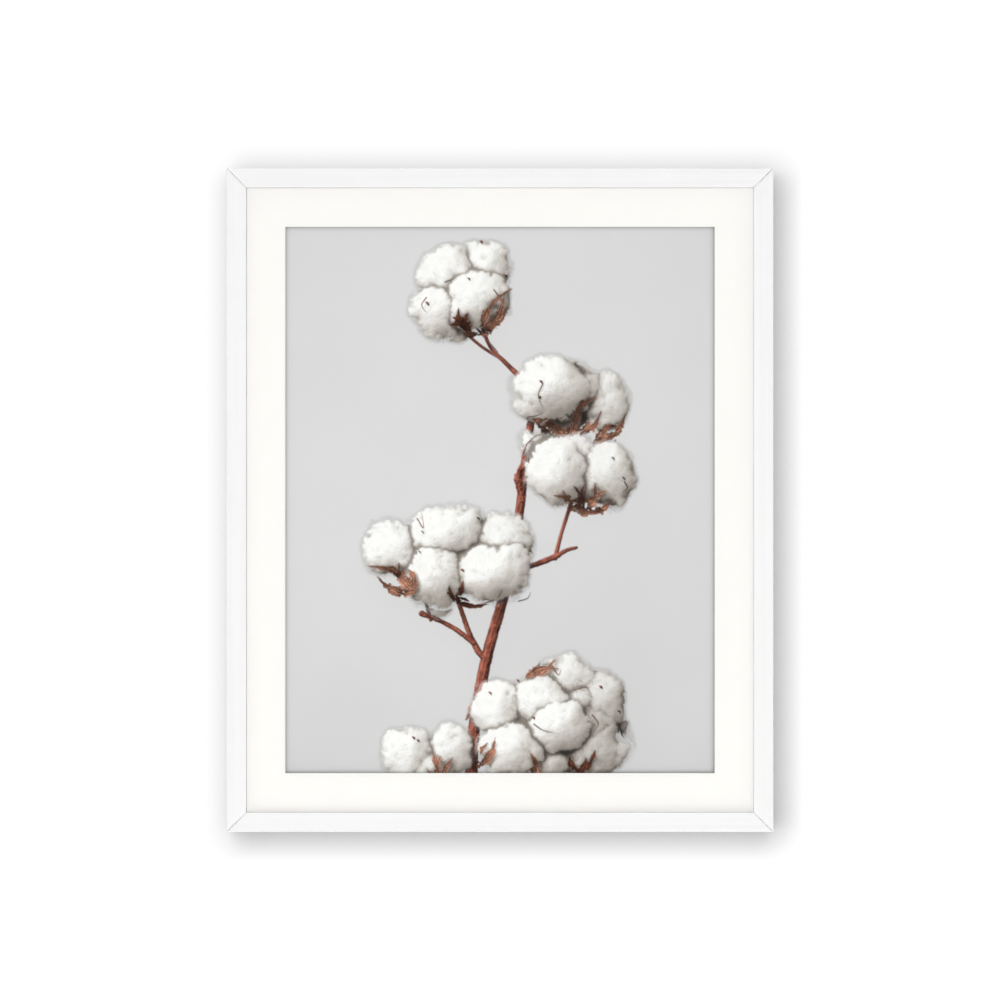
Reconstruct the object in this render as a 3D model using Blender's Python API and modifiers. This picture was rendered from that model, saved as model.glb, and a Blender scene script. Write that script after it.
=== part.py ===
"""A framed wall print, modelled piece by piece in the order it goes together on a bench.

Four white mitred rails with a rabbet behind the lip hold picture glass, a window mat, a print
taped to its mount board and a backing board. Corner nails tie the mitres, glazing points keep the
stack in, a paper dust cover closes the back, and a sawtooth hanger and two bumpers meet the wall.

Metres, +Z up. The picture faces -Y and the wall is at +Y. The origin is the middle notch of the
hanger, where the wall's nail carries the frame.
"""

import math

import bmesh
import bpy
from mathutils import Matrix, Vector

MM = 0.001
GAP = 0.3 * MM

# The moulding: its face, its depth, and the rabbet that is cut behind the lip.
FRAME_WIDTH = 355.6 * MM
FRAME_HEIGHT = 431.8 * MM
FACE_WIDTH = 12.7 * MM
RAIL_DEPTH = 22.2 * MM
LIP_THICKNESS = 2.6 * MM
LIP_OVERLAP = 4.6 * MM
WALL_WIDTH = FACE_WIDTH - LIP_OVERLAP
FACE_EDGE_RADIUS = 0.7 * MM
BACK_EDGE_RADIUS = 0.4 * MM
EDGE_STEPS = 3

# The sheets in the rabbet, all cut a little smaller than it. The window's size is its front edge.
RABBET_CLEARANCE = 1.2 * MM
SHEET_WIDTH = FRAME_WIDTH - 2 * (WALL_WIDTH + RABBET_CLEARANCE)
SHEET_HEIGHT = FRAME_HEIGHT - 2 * (WALL_WIDTH + RABBET_CLEARANCE)
GLASS_THICKNESS = 1.2 * MM
MAT_THICKNESS = 1.4 * MM
TAPE_THICKNESS = 0.15 * MM
PRINT_THICKNESS = 0.3 * MM
MOUNT_THICKNESS = 1.4 * MM
BACKING_THICKNESS = 3.0 * MM
WINDOW_WIDTH = 279.4 * MM
WINDOW_HEIGHT = 355.6 * MM
PRINT_WIDTH = 304.8 * MM
PRINT_HEIGHT = 381.0 * MM
TAPE_WIDTH = 25.0 * MM
TAPE_HEIGHT = 20.0 * MM
TAPE_SPACING = 180.0 * MM

# Depths behind the frame's face, counted back through the stack.
GLASS_FRONT = LIP_THICKNESS + GAP
MAT_FRONT = GLASS_FRONT + GLASS_THICKNESS + GAP
TAPE_FRONT = MAT_FRONT + MAT_THICKNESS + GAP
PRINT_FRONT = TAPE_FRONT + TAPE_THICKNESS + GAP
MOUNT_FRONT = PRINT_FRONT + PRINT_THICKNESS + GAP
BACKING_FRONT = MOUNT_FRONT + MOUNT_THICKNESS + GAP
POINT_FRONT = BACKING_FRONT + BACKING_THICKNESS + GAP

# Bent corner nails, one wing in each rail of a mitre.
CORNER_NAIL_THICKNESS = 0.5 * MM
CORNER_NAIL_INSET = 2.6 * MM
CORNER_NAIL_WING = 3.4 * MM
CORNER_NAIL_HEIGHT = 10.0 * MM
CORNER_NAIL_SINK = 0.2 * MM

# Flexible glazing points, driven into the rabbet's wall over the backing board.
POINT_THICKNESS = 0.4 * MM
POINT_HALF_WIDTH = 3.0 * MM
POINT_IN_WALL = 4.5 * MM
POINT_REACH = 8.0 * MM
POINT_NOSE = 2.0 * MM
POINTS_ON_LONG_SIDE = 3
POINTS_ON_SHORT_SIDE = 2

# Dust cover, hanger with its nails, and bumpers.
COVER_INSET = 2.0 * MM
COVER_THICKNESS = 0.2 * MM
COVER_FRONT = RAIL_DEPTH + GAP
FITTINGS_FRONT = COVER_FRONT + COVER_THICKNESS + GAP
HANGER_HALF_LENGTH = 21.0 * MM
HANGER_HEIGHT = 8.0 * MM
HANGER_THICKNESS = 0.8 * MM
HANGER_STAND_OFF = 1.3 * MM
HANGER_BENCH_HALF = 12.5 * MM
HANGER_SLOPE = 1.5 * MM
HANGER_DROP = 1.8 * MM
EAR_HEIGHT = 5.0 * MM
EAR_STEPS = 6
TOOTH_PITCH = 2.6 * MM
TOOTH_DEPTH = 1.1 * MM
MIDDLE_NOTCH_DEPTH = 1.6 * MM
NOTCHES_EACH_SIDE = 4
NAIL_RADIUS = 0.8 * MM
NAIL_HEAD_RADIUS = 1.8 * MM
NAIL_HEAD_HEIGHT = 0.8 * MM
NAIL_HEAD_STEPS = 3
NAIL_LENGTH = 11.0 * MM
NAIL_TIP = 1.6 * MM
NAIL_STEPS = 16
NAIL_SPACING = 34.0 * MM
BUMPER_RADIUS = 5.0 * MM
BUMPER_REAR_RADIUS = 4.4 * MM
BUMPER_THICKNESS = 2.6 * MM
BUMPER_EDGE = 0.5 * MM
BUMPER_INSET = 9.5 * MM
BUMPER_STEPS = 32

# The hanger's middle notch is the origin, so the face's centre lies here.
NOTCH_BELOW_TOP = HANGER_DROP + HANGER_HEIGHT - MIDDLE_NOTCH_DEPTH
NOTCH_DEPTH = FITTINGS_FRONT + HANGER_STAND_OFF + HANGER_THICKNESS / 2
FACE_CENTRE = Vector((0, -NOTCH_DEPTH, NOTCH_BELOW_TOP - FRAME_HEIGHT / 2))

MITRE_BLOCK = 60.0 * MM
CUT_MARGIN = 1.0 * MM

# Rail name, its turn about the depth axis in quarter turns, the half length of the side it runs
# along, and how far its outer edge is from the middle.
RAILS = (
    ("left", 0, FRAME_HEIGHT / 2, FRAME_WIDTH / 2),
    ("top", 1, FRAME_WIDTH / 2, FRAME_HEIGHT / 2),
    ("right", 2, FRAME_HEIGHT / 2, FRAME_WIDTH / 2),
    ("bottom", 3, FRAME_WIDTH / 2, FRAME_HEIGHT / 2),
)

# Colour, roughness and metallic value of each finish.
FINISHES = {
    "white_paint": ((0.90, 0.90, 0.90), 0.45, 0.0),
    "glass": ((0.92, 0.95, 0.94), 0.05, 0.0),
    "mat_board": ((0.95, 0.94, 0.91), 0.85, 0.0),
    "print_paper": ((0.70, 0.69, 0.70), 0.60, 0.0),
    "mount_board": ((0.86, 0.85, 0.81), 0.85, 0.0),
    "hardboard": ((0.36, 0.24, 0.15), 0.75, 0.0),
    "linen_tape": ((0.88, 0.87, 0.82), 0.80, 0.0),
    "kraft_paper": ((0.50, 0.34, 0.20), 0.80, 0.0),
    "steel": ((0.62, 0.62, 0.63), 0.35, 1.0),
    "rubber": ((0.75, 0.75, 0.73), 0.60, 0.0),
}


def clear_scene():
    """Remove every object, so the model stands alone."""
    for item in list(bpy.data.objects):
        bpy.data.objects.remove(item, do_unlink=True)


def new_collection(name):
    """Make a collection in the scene."""
    collection = bpy.data.collections.new(name)
    bpy.context.scene.collection.children.link(collection)
    return collection


def new_material(name, finish):
    """Make a Principled material for one piece from its finish."""
    colour, roughness, metallic = FINISHES[finish]
    material = bpy.data.materials.new(name)
    material.use_nodes = True
    shader = material.node_tree.nodes["Principled BSDF"]
    shader.inputs["Base Color"].default_value = (*colour, 1.0)
    shader.inputs["Roughness"].default_value = roughness
    shader.inputs["Metallic"].default_value = metallic
    return material


class Model:
    """The two collections, and the empty at the middle of the frame's face that carries all."""

    def __init__(self):
        self.parts = new_collection("framed_print")
        self.cutters = new_collection("cutters")
        self.face = bpy.data.objects.new("face_centre", None)
        self.face.location = FACE_CENTRE
        self.parts.objects.link(self.face)

    def add(self, name, mesh, matrix, finish):
        """Place a mesh as a part: x right, y depth behind the face, z up from its middle."""
        part = bpy.data.objects.new(name, mesh)
        part.parent = self.face
        part.matrix_local = matrix
        mesh.materials.clear()
        mesh.materials.append(new_material(name, finish))
        self.parts.objects.link(part)
        return part

    def add_cutter(self, name, mesh, matrix):
        """Place a mesh that only cuts others."""
        cutter = bpy.data.objects.new(name, mesh)
        cutter.parent = self.face
        cutter.matrix_local = matrix
        cutter.hide_render = True
        cutter.display_type = "WIRE"
        self.cutters.objects.link(cutter)
        return cutter


def boolean(part, cutter, operation="DIFFERENCE"):
    """Cut a part with another object, or keep what the two share."""
    modifier = part.modifiers.new(operation.lower(), "BOOLEAN")
    modifier.object = cutter
    modifier.operation = operation
    modifier.solver = "EXACT"


def box_mesh(name, low, high):
    """A box between two corners, in its own frame."""
    body = bmesh.new()
    bmesh.ops.create_cube(body, size=1.0)
    size = Vector(high) - Vector(low)
    bmesh.ops.scale(body, vec=size, verts=body.verts)
    bmesh.ops.translate(body, vec=(Vector(low) + Vector(high)) / 2, verts=body.verts)
    mesh = bpy.data.meshes.new(name)
    body.to_mesh(mesh)
    body.free()
    return mesh


def round_mesh(name, radius, rear_radius, height, steps):
    """A cylinder or a cone's slice along its own Z, standing on its origin."""
    body = bmesh.new()
    bmesh.ops.create_cone(
        body,
        cap_ends=True,
        segments=steps,
        radius1=radius,
        radius2=rear_radius,
        depth=height,
        matrix=Matrix.Translation((0, 0, height / 2)),
    )
    mesh = bpy.data.meshes.new(name)
    body.to_mesh(mesh)
    body.free()
    return mesh


def outline_mesh(name, points, thickness):
    """A flat outline in its own XY plane, given half its thickness to each side of the plane."""
    curve = bpy.data.curves.new(name, "CURVE")
    curve.dimensions = "2D"
    curve.fill_mode = "BOTH"
    curve.extrude = thickness / 2
    spline = curve.splines.new("POLY")
    spline.points.add(len(points) - 1)
    for place, (x, y) in zip(spline.points, points):
        place.co = (x, y, 0, 1)
    spline.use_cyclic_u = True
    drawn = bpy.data.objects.new(name, curve)
    bpy.context.scene.collection.objects.link(drawn)
    bpy.context.view_layer.update()
    mesh = bpy.data.meshes.new_from_object(
        drawn.evaluated_get(bpy.context.evaluated_depsgraph_get())
    )
    bpy.data.objects.remove(drawn, do_unlink=True)
    body = bmesh.new()
    body.from_mesh(mesh)
    bmesh.ops.remove_doubles(body, verts=body.verts, dist=0.001 * MM)
    body.to_mesh(mesh)
    body.free()
    return mesh


def profile_mesh(name, points):
    """An open line of points in the XZ plane, to be turned about Z."""
    mesh = bpy.data.meshes.new(name)
    steps = [(index, index + 1) for index in range(len(points) - 1)]
    mesh.from_pydata([(x, 0, z) for x, z in points], steps, [])
    return mesh


def rounded_outline(corners):
    """Outline of right-angled corners given as (x, y, radius), with arcs where the radius asks."""
    points = []
    for index, (x, y, radius) in enumerate(corners):
        corner = Vector((x, y))
        before = (Vector(corners[index - 1][:2]) - corner).normalized()
        after = (Vector(corners[(index + 1) % len(corners)][:2]) - corner).normalized()
        if radius == 0:
            points.append(tuple(corner))
            continue
        centre = corner + radius * (before + after)
        for step in range(EDGE_STEPS + 1):
            turn = math.radians(90) * step / EDGE_STEPS
            points.append(
                tuple(centre - radius * (after * math.cos(turn) + before * math.sin(turn)))
            )
    return points


def rail_matrix(quarter, outer):
    """Frame of one rail: x runs inward from its outer edge, y is the depth, z runs along it."""
    turn = Matrix.Rotation(math.radians(90) * quarter, 4, "Y")
    return turn @ Matrix.Translation((-outer, 0, 0))


def corner_matrix(quarter, half_length, outer):
    """Frame of the corner at a rail's far end: x and y run inward, z is the depth forward."""
    place = rail_matrix(quarter, outer) @ Matrix.Translation((0, 0, half_length))
    return place @ Matrix.Rotation(math.radians(-90), 4, "X")


def corner_nail_outline(grow):
    """The bent nail seen from the back: two equal wings, grown all round for its slot."""
    low = CORNER_NAIL_INSET - CORNER_NAIL_THICKNESS / 2 - grow
    inner = CORNER_NAIL_INSET + CORNER_NAIL_THICKNESS / 2 + grow
    tip = CORNER_NAIL_INSET + CORNER_NAIL_WING + grow
    return [(low, low), (tip, low), (tip, inner), (inner, inner), (inner, tip), (low, tip)]


def make_corner_nails(model):
    """The four corner nails, and the slots that they stand in, by corner."""
    slots = []
    middle = RAIL_DEPTH - CORNER_NAIL_SINK - CORNER_NAIL_HEIGHT / 2
    for name, (_, quarter, half_length, outer) in zip(
        ("top_left", "top_right", "bottom_right", "bottom_left"), RAILS
    ):
        corner = corner_matrix(quarter, half_length, outer)
        node = "corner_nail_" + name
        mesh = outline_mesh(node, corner_nail_outline(0), CORNER_NAIL_HEIGHT)
        model.add(node, mesh, corner @ Matrix.Translation((0, 0, middle)), "steel")
        slot_height = CORNER_NAIL_HEIGHT + 2 * CUT_MARGIN
        slot_middle = RAIL_DEPTH - CORNER_NAIL_SINK - CORNER_NAIL_HEIGHT - GAP + slot_height / 2
        slot = outline_mesh("slot_" + node, corner_nail_outline(GAP), slot_height)
        place = corner @ Matrix.Translation((0, 0, slot_middle))
        slots.append(model.add_cutter("slot_" + node, slot, place))
    return slots


def point_places(half_length, count):
    """Where the glazing points stand along a rail, evenly spaced about its middle."""
    pitch = 2 * half_length / (count + 1)
    return [pitch * (index - (count - 1) / 2) for index in range(count)]


def make_glazing_points(model, side, matrix, half_length, count):
    """The flexible points of one rail, and the slots for them in the rabbet's wall."""
    slots = []
    root = WALL_WIDTH - POINT_IN_WALL
    end = WALL_WIDTH + POINT_REACH
    outline = [
        (root, -POINT_HALF_WIDTH / 3),
        (root + POINT_NOSE, -POINT_HALF_WIDTH),
        (end - POINT_NOSE / 2, -POINT_HALF_WIDTH),
        (end, -POINT_HALF_WIDTH / 2),
        (end, POINT_HALF_WIDTH / 2),
        (end - POINT_NOSE / 2, POINT_HALF_WIDTH),
        (root + POINT_NOSE, POINT_HALF_WIDTH),
        (root, POINT_HALF_WIDTH / 3),
    ]
    flat = Matrix.Rotation(math.radians(90), 4, "X")
    middle = POINT_FRONT + POINT_THICKNESS / 2
    for number, along in enumerate(point_places(half_length, count), start=1):
        node = f"glazing_point_{side}_{number}"
        place = matrix @ Matrix.Translation((0, middle, along)) @ flat
        model.add(node, outline_mesh(node, outline, POINT_THICKNESS), place, "steel")
        slot = box_mesh(
            "slot_" + node,
            (root - GAP, -POINT_HALF_WIDTH - GAP, -POINT_THICKNESS / 2 - GAP),
            (WALL_WIDTH + CUT_MARGIN, POINT_HALF_WIDTH + GAP, POINT_THICKNESS / 2 + GAP),
        )
        slots.append(model.add_cutter("slot_" + node, slot, place))
    return slots


def make_mitre_cutters(model, name, matrix, half_length):
    """The two blocks that trim a rail to its mitres, each half a gap back from the joint."""
    blocks = []
    half = MITRE_BLOCK / 2
    for end in (-1, 1):
        outward = Vector((1, 0, end)).normalized()
        centre = Vector((0, RAIL_DEPTH / 2, end * half_length)) + outward * (half - GAP / 2)
        turn = Matrix.Rotation(math.radians(45), 4, "Y")
        place = matrix @ Matrix.Translation(centre) @ turn
        mesh = box_mesh(f"mitre_{name}", (-half, -half, -half), (half, half, half))
        blocks.append(model.add_cutter(f"mitre_{name}_{end}", mesh, place))
    return blocks


def make_rails(model, corner_slots, nail_holes):
    """The four rails: one L-shaped profile, trimmed and slotted for what is driven into it."""
    profile = rounded_outline(
        [
            (0, 0, FACE_EDGE_RADIUS),
            (FACE_WIDTH, 0, FACE_EDGE_RADIUS),
            (FACE_WIDTH, LIP_THICKNESS, 0),
            (WALL_WIDTH, LIP_THICKNESS, 0),
            (WALL_WIDTH, RAIL_DEPTH, 0),
            (0, RAIL_DEPTH, BACK_EDGE_RADIUS),
        ]
    )
    for index, (name, quarter, half_length, outer) in enumerate(RAILS):
        matrix = rail_matrix(quarter, outer)
        node = name + "_rail"
        rail = model.add(node, outline_mesh(node, profile, 2 * half_length), matrix, "white_paint")
        count = POINTS_ON_LONG_SIDE if half_length == FRAME_HEIGHT / 2 else POINTS_ON_SHORT_SIDE
        cutters = make_mitre_cutters(model, name, matrix, half_length)
        cutters += [corner_slots[index], corner_slots[index - 1]]
        cutters += make_glazing_points(model, name, matrix, half_length, count)
        if name == "top":
            cutters += nail_holes
        for cutter in cutters:
            boolean(rail, cutter)


def sheet_matrix(front):
    """Frame of a sheet whose front face is at a depth."""
    return Matrix.Translation((0, front, 0))


def sheet_mesh(name, width, height, thickness):
    """A flat sheet with its front face in its own XZ plane."""
    return box_mesh(name, (-width / 2, 0, -height / 2), (width / 2, thickness, height / 2))


def window_cutter_mesh():
    """The mat's window: the seen size at its front, its cut widening backward at 45 degrees."""
    mesh = box_mesh("window", (-0.5, -CUT_MARGIN, -0.5), (0.5, MAT_THICKNESS + CUT_MARGIN, 0.5))
    for vertex in mesh.vertices:
        vertex.co.x = math.copysign(WINDOW_WIDTH / 2 + vertex.co.y, vertex.co.x)
        vertex.co.z = math.copysign(WINDOW_HEIGHT / 2 + vertex.co.y, vertex.co.z)
    return mesh


def make_sheets(model):
    """Glass, mat, print with its hinge tapes, mount board and backing board."""
    for name, thickness, front, finish in (
        ("picture_glass", GLASS_THICKNESS, GLASS_FRONT, "glass"),
        ("window_mat", MAT_THICKNESS, MAT_FRONT, "mat_board"),
        ("mount_board", MOUNT_THICKNESS, MOUNT_FRONT, "mount_board"),
        ("backing_board", BACKING_THICKNESS, BACKING_FRONT, "hardboard"),
    ):
        mesh = sheet_mesh(name, SHEET_WIDTH, SHEET_HEIGHT, thickness)
        sheet = model.add(name, mesh, sheet_matrix(front), finish)
        if name == "window_mat":
            boolean(sheet, model.add_cutter("window", window_cutter_mesh(), sheet_matrix(front)))
    paper = sheet_mesh("art_print", PRINT_WIDTH, PRINT_HEIGHT, PRINT_THICKNESS)
    model.add("art_print", paper, sheet_matrix(PRINT_FRONT), "print_paper")
    for side, way in (("left", -1), ("right", 1)):
        node = "hinge_tape_" + side
        tape = sheet_mesh(node, TAPE_WIDTH, TAPE_HEIGHT, TAPE_THICKNESS)
        place = Matrix.Translation((way * TAPE_SPACING / 2, TAPE_FRONT, PRINT_HEIGHT / 2))
        model.add(node, tape, place, "linen_tape")


def nail_matrix(way):
    """Frame of a hanger nail: its axis runs back from under its head, in the ear's middle."""
    ear = FRAME_HEIGHT / 2 - HANGER_DROP - EAR_HEIGHT / 2
    under_head = FITTINGS_FRONT + HANGER_THICKNESS + GAP
    place = Matrix.Translation((way * NAIL_SPACING / 2, under_head, ear))
    return place @ Matrix.Rotation(math.radians(-90), 4, "X")


def make_nail_holes(model):
    """The pilot holes for the hanger's nails, through the ears, the dust cover and the rail."""
    holes = []
    reach = NAIL_LENGTH + GAP
    for side, way in (("left", -1), ("right", 1)):
        radius = NAIL_RADIUS + GAP
        mesh = round_mesh("nail_hole_" + side, radius, radius, reach + CUT_MARGIN, NAIL_STEPS)
        place = nail_matrix(way) @ Matrix.Translation((0, 0, -reach))
        holes.append(model.add_cutter("nail_hole_" + side, mesh, place))
    return holes


def make_hanger_nails(model):
    """The two round-headed nails, each a profile turned about its axis."""
    turns = [math.radians(90) * step / NAIL_HEAD_STEPS for step in range(NAIL_HEAD_STEPS)]
    dome = [
        (NAIL_HEAD_RADIUS * math.sin(turn), NAIL_HEAD_HEIGHT * math.cos(turn)) for turn in turns
    ]
    profile = dome + [
        (NAIL_HEAD_RADIUS, 0),
        (NAIL_RADIUS, 0),
        (NAIL_RADIUS, NAIL_TIP - NAIL_LENGTH),
        (0, -NAIL_LENGTH),
    ]
    for side, way in (("left", -1), ("right", 1)):
        node = "hanger_nail_" + side
        nail = model.add(node, profile_mesh(node, profile), nail_matrix(way), "steel")
        turned = nail.modifiers.new("turned", "SCREW")
        turned.axis = "Z"
        turned.steps = NAIL_STEPS
        turned.render_steps = NAIL_STEPS
        turned.use_merge_vertices = True
        turned.merge_threshold = 0.01 * MM


def hanger_section():
    """The hanger seen from above: flat ears, a slope each side, and a bench that stands off."""
    slope_foot = HANGER_BENCH_HALF + HANGER_SLOPE
    front = [
        (-HANGER_HALF_LENGTH, 0),
        (-slope_foot, 0),
        (-HANGER_BENCH_HALF, HANGER_STAND_OFF),
        (HANGER_BENCH_HALF, HANGER_STAND_OFF),
        (slope_foot, 0),
        (HANGER_HALF_LENGTH, 0),
    ]
    rear = [(x, y + HANGER_THICKNESS) for x, y in reversed(front)]
    return front + rear


def hanger_silhouette():
    """The hanger seen from behind, from its top edge: round ears, and notches along the bench."""
    ear = EAR_HEIGHT / 2
    arc = [math.radians(90) - math.radians(180) * step / EAR_STEPS for step in range(EAR_STEPS + 1)]
    right_ear = [
        (HANGER_HALF_LENGTH - ear + ear * math.cos(turn), -ear + ear * math.sin(turn))
        for turn in arc
    ]
    foot = HANGER_BENCH_HALF
    notches = []
    for number in range(NOTCHES_EACH_SIDE, -NOTCHES_EACH_SIDE - 1, -1):
        depth = TOOTH_DEPTH if number else MIDDLE_NOTCH_DEPTH
        middle = number * TOOTH_PITCH
        notches.append((middle + TOOTH_PITCH / 2, -HANGER_HEIGHT))
        notches.append((middle, -HANGER_HEIGHT + depth))
    notches.append((-(NOTCHES_EACH_SIDE + 0.5) * TOOTH_PITCH, -HANGER_HEIGHT))
    left_ear = [(-x, z) for x, z in reversed(right_ear)]
    return (
        right_ear
        + [(foot, -EAR_HEIGHT), (foot, -HANGER_HEIGHT)]
        + notches
        + [(-foot, -HANGER_HEIGHT), (-foot, -EAR_HEIGHT)]
        + left_ear
    )


def make_hanger(model, nail_holes):
    """The sawtooth hanger: its bent strip, kept where its silhouette is, and pierced."""
    top = FRAME_HEIGHT / 2 - HANGER_DROP
    strip = outline_mesh("sawtooth_hanger", hanger_section(), HANGER_HEIGHT + 2 * CUT_MARGIN)
    place = Matrix.Translation((0, FITTINGS_FRONT, top - HANGER_HEIGHT / 2))
    hanger = model.add("sawtooth_hanger", strip, place, "steel")
    outline = outline_mesh("hanger_outline", hanger_silhouette(), 10 * HANGER_THICKNESS)
    facing = Matrix.Translation((0, FITTINGS_FRONT, top)) @ Matrix.Rotation(math.radians(90), 4, "X")
    boolean(hanger, model.add_cutter("hanger_outline", outline, facing), "INTERSECT")
    for hole in nail_holes:
        boolean(hanger, hole)


def make_dust_cover(model, nail_holes):
    """The paper that closes the back, pierced by the hanger's nails."""
    width = FRAME_WIDTH - 2 * COVER_INSET
    height = FRAME_HEIGHT - 2 * COVER_INSET
    mesh = sheet_mesh("dust_cover", width, height, COVER_THICKNESS)
    cover = model.add("dust_cover", mesh, sheet_matrix(COVER_FRONT), "kraft_paper")
    for hole in nail_holes:
        boolean(cover, hole)


def make_bumpers(model):
    """The two bumpers that hold the frame's lower corners off the wall."""
    for side, way in (("left", -1), ("right", 1)):
        node = "wall_bumper_" + side
        mesh = round_mesh(node, BUMPER_RADIUS, BUMPER_REAR_RADIUS, BUMPER_THICKNESS, BUMPER_STEPS)
        across = way * (FRAME_WIDTH / 2 - BUMPER_INSET)
        place = Matrix.Translation((across, FITTINGS_FRONT, BUMPER_INSET - FRAME_HEIGHT / 2))
        turn = Matrix.Rotation(math.radians(-90), 4, "X")
        bumper = model.add(node, mesh, place @ turn, "rubber")
        edge = bumper.modifiers.new("rim", "BEVEL")
        edge.width = BUMPER_EDGE
        edge.segments = 2
        edge.limit_method = "ANGLE"
        edge.angle_limit = math.radians(40)


def main():
    """Build the framed print in the order that it goes together."""
    clear_scene()
    model = Model()
    nail_holes = make_nail_holes(model)
    corner_slots = make_corner_nails(model)
    make_rails(model, corner_slots, nail_holes)
    make_sheets(model)
    make_dust_cover(model, nail_holes)
    make_hanger(model, nail_holes)
    make_hanger_nails(model)
    make_bumpers(model)


main()
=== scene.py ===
"""The looks of a framed cotton print that hangs on a wall.

Painted mitred rails, picture glass, a bevel-cut window mat and a print whose picture is grown
here as a relief and lit; behind them kraft paper, a sawtooth hanger with its nails, and bumpers.
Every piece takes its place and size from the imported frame, in metres: x to the right as the
picture is seen, y towards the wall, z up.
"""

import logging
import math
from collections.abc import Iterable
from dataclasses import dataclass, field
from enum import Enum
from functools import cached_property

import bmesh
import bpy
import numpy as np
from mathutils import Matrix, Vector, noise


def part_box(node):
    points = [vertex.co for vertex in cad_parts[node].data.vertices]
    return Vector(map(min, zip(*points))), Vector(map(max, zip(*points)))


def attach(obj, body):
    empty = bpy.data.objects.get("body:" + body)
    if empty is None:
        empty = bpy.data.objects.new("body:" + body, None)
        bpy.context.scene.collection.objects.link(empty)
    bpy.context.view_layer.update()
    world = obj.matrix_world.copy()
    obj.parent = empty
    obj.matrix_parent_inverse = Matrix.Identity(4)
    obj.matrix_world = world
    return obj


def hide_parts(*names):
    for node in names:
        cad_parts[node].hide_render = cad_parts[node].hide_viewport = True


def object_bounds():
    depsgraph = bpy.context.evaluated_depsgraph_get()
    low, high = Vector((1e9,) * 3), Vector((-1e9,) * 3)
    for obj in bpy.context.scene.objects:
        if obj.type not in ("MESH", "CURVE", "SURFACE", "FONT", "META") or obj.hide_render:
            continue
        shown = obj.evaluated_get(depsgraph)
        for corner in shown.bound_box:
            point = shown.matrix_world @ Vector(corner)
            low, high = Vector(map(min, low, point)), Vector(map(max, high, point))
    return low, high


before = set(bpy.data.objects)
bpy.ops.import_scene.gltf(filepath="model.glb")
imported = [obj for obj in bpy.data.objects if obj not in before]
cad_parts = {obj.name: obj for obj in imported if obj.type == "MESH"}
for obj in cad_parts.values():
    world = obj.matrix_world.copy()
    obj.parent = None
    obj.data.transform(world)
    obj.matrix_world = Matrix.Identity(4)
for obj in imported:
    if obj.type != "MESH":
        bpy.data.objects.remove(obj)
CAD_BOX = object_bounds()

log = logging.getLogger("framed_print")
MM = 0.001
BODY = "root"
SIDES = ("left", "right")
WINDOW = (279.4, 355.6)

Field = np.ndarray
Point = tuple[float, float]
Lumps = tuple[float, float, float]


def tone(red: float, green: float, blue: float) -> Field:
    """A colour as 0..255 display values, turned into linear light.

    Args:
        red: display red.
        green: display green.
        blue: display blue.

    Returns:
        The three linear values.
    """
    value = np.array([red, green, blue], dtype=np.float64) / 255.0
    return np.where(value <= 0.04045, value / 12.92, ((value + 0.055) / 1.055) ** 2.4)


# ---------------------------------------------------------------------------------------------
# Shader maths


class Signal:
    """A value, colour or vector inside a material, with shader maths written as operators."""

    def __init__(self, shader: "Shader", socket: bpy.types.NodeSocket) -> None:
        """Wrap an output socket of the shader's tree."""
        self.shader = shader
        self.socket = socket

    def maths(self, operation: str, *values: "Signal | float") -> "Signal":
        """One Math node over these values."""
        sockets = dict(enumerate(values))
        return self.shader.node("ShaderNodeMath", {"operation": operation}, sockets)

    def __add__(self, other: "Signal | float") -> "Signal":
        """Sum."""
        return self.maths("ADD", self, other)

    def __radd__(self, other: float) -> "Signal":
        """Sum, reflected."""
        return self.maths("ADD", other, self)

    def __sub__(self, other: "Signal | float") -> "Signal":
        """Difference."""
        return self.maths("SUBTRACT", self, other)

    def __rsub__(self, other: float) -> "Signal":
        """Difference, reflected."""
        return self.maths("SUBTRACT", other, self)

    def __mul__(self, other: "Signal | float") -> "Signal":
        """Product."""
        return self.maths("MULTIPLY", self, other)

    def __rmul__(self, other: float) -> "Signal":
        """Product, reflected."""
        return self.maths("MULTIPLY", other, self)

    def clamp(self) -> "Signal":
        """The value held between 0 and 1."""
        sockets = {"Value": self, "Min": 0.0, "Max": 1.0}
        return self.shader.node("ShaderNodeClamp", {}, sockets)

    def ramp(self, low: float, high: float) -> "Signal":
        """A soft step from 0 at low to 1 at high."""
        sockets = {"Value": self, "From Min": low, "From Max": high}
        settings = {"interpolation_type": "SMOOTHSTEP"}
        return self.shader.node("ShaderNodeMapRange", settings, sockets)


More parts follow.
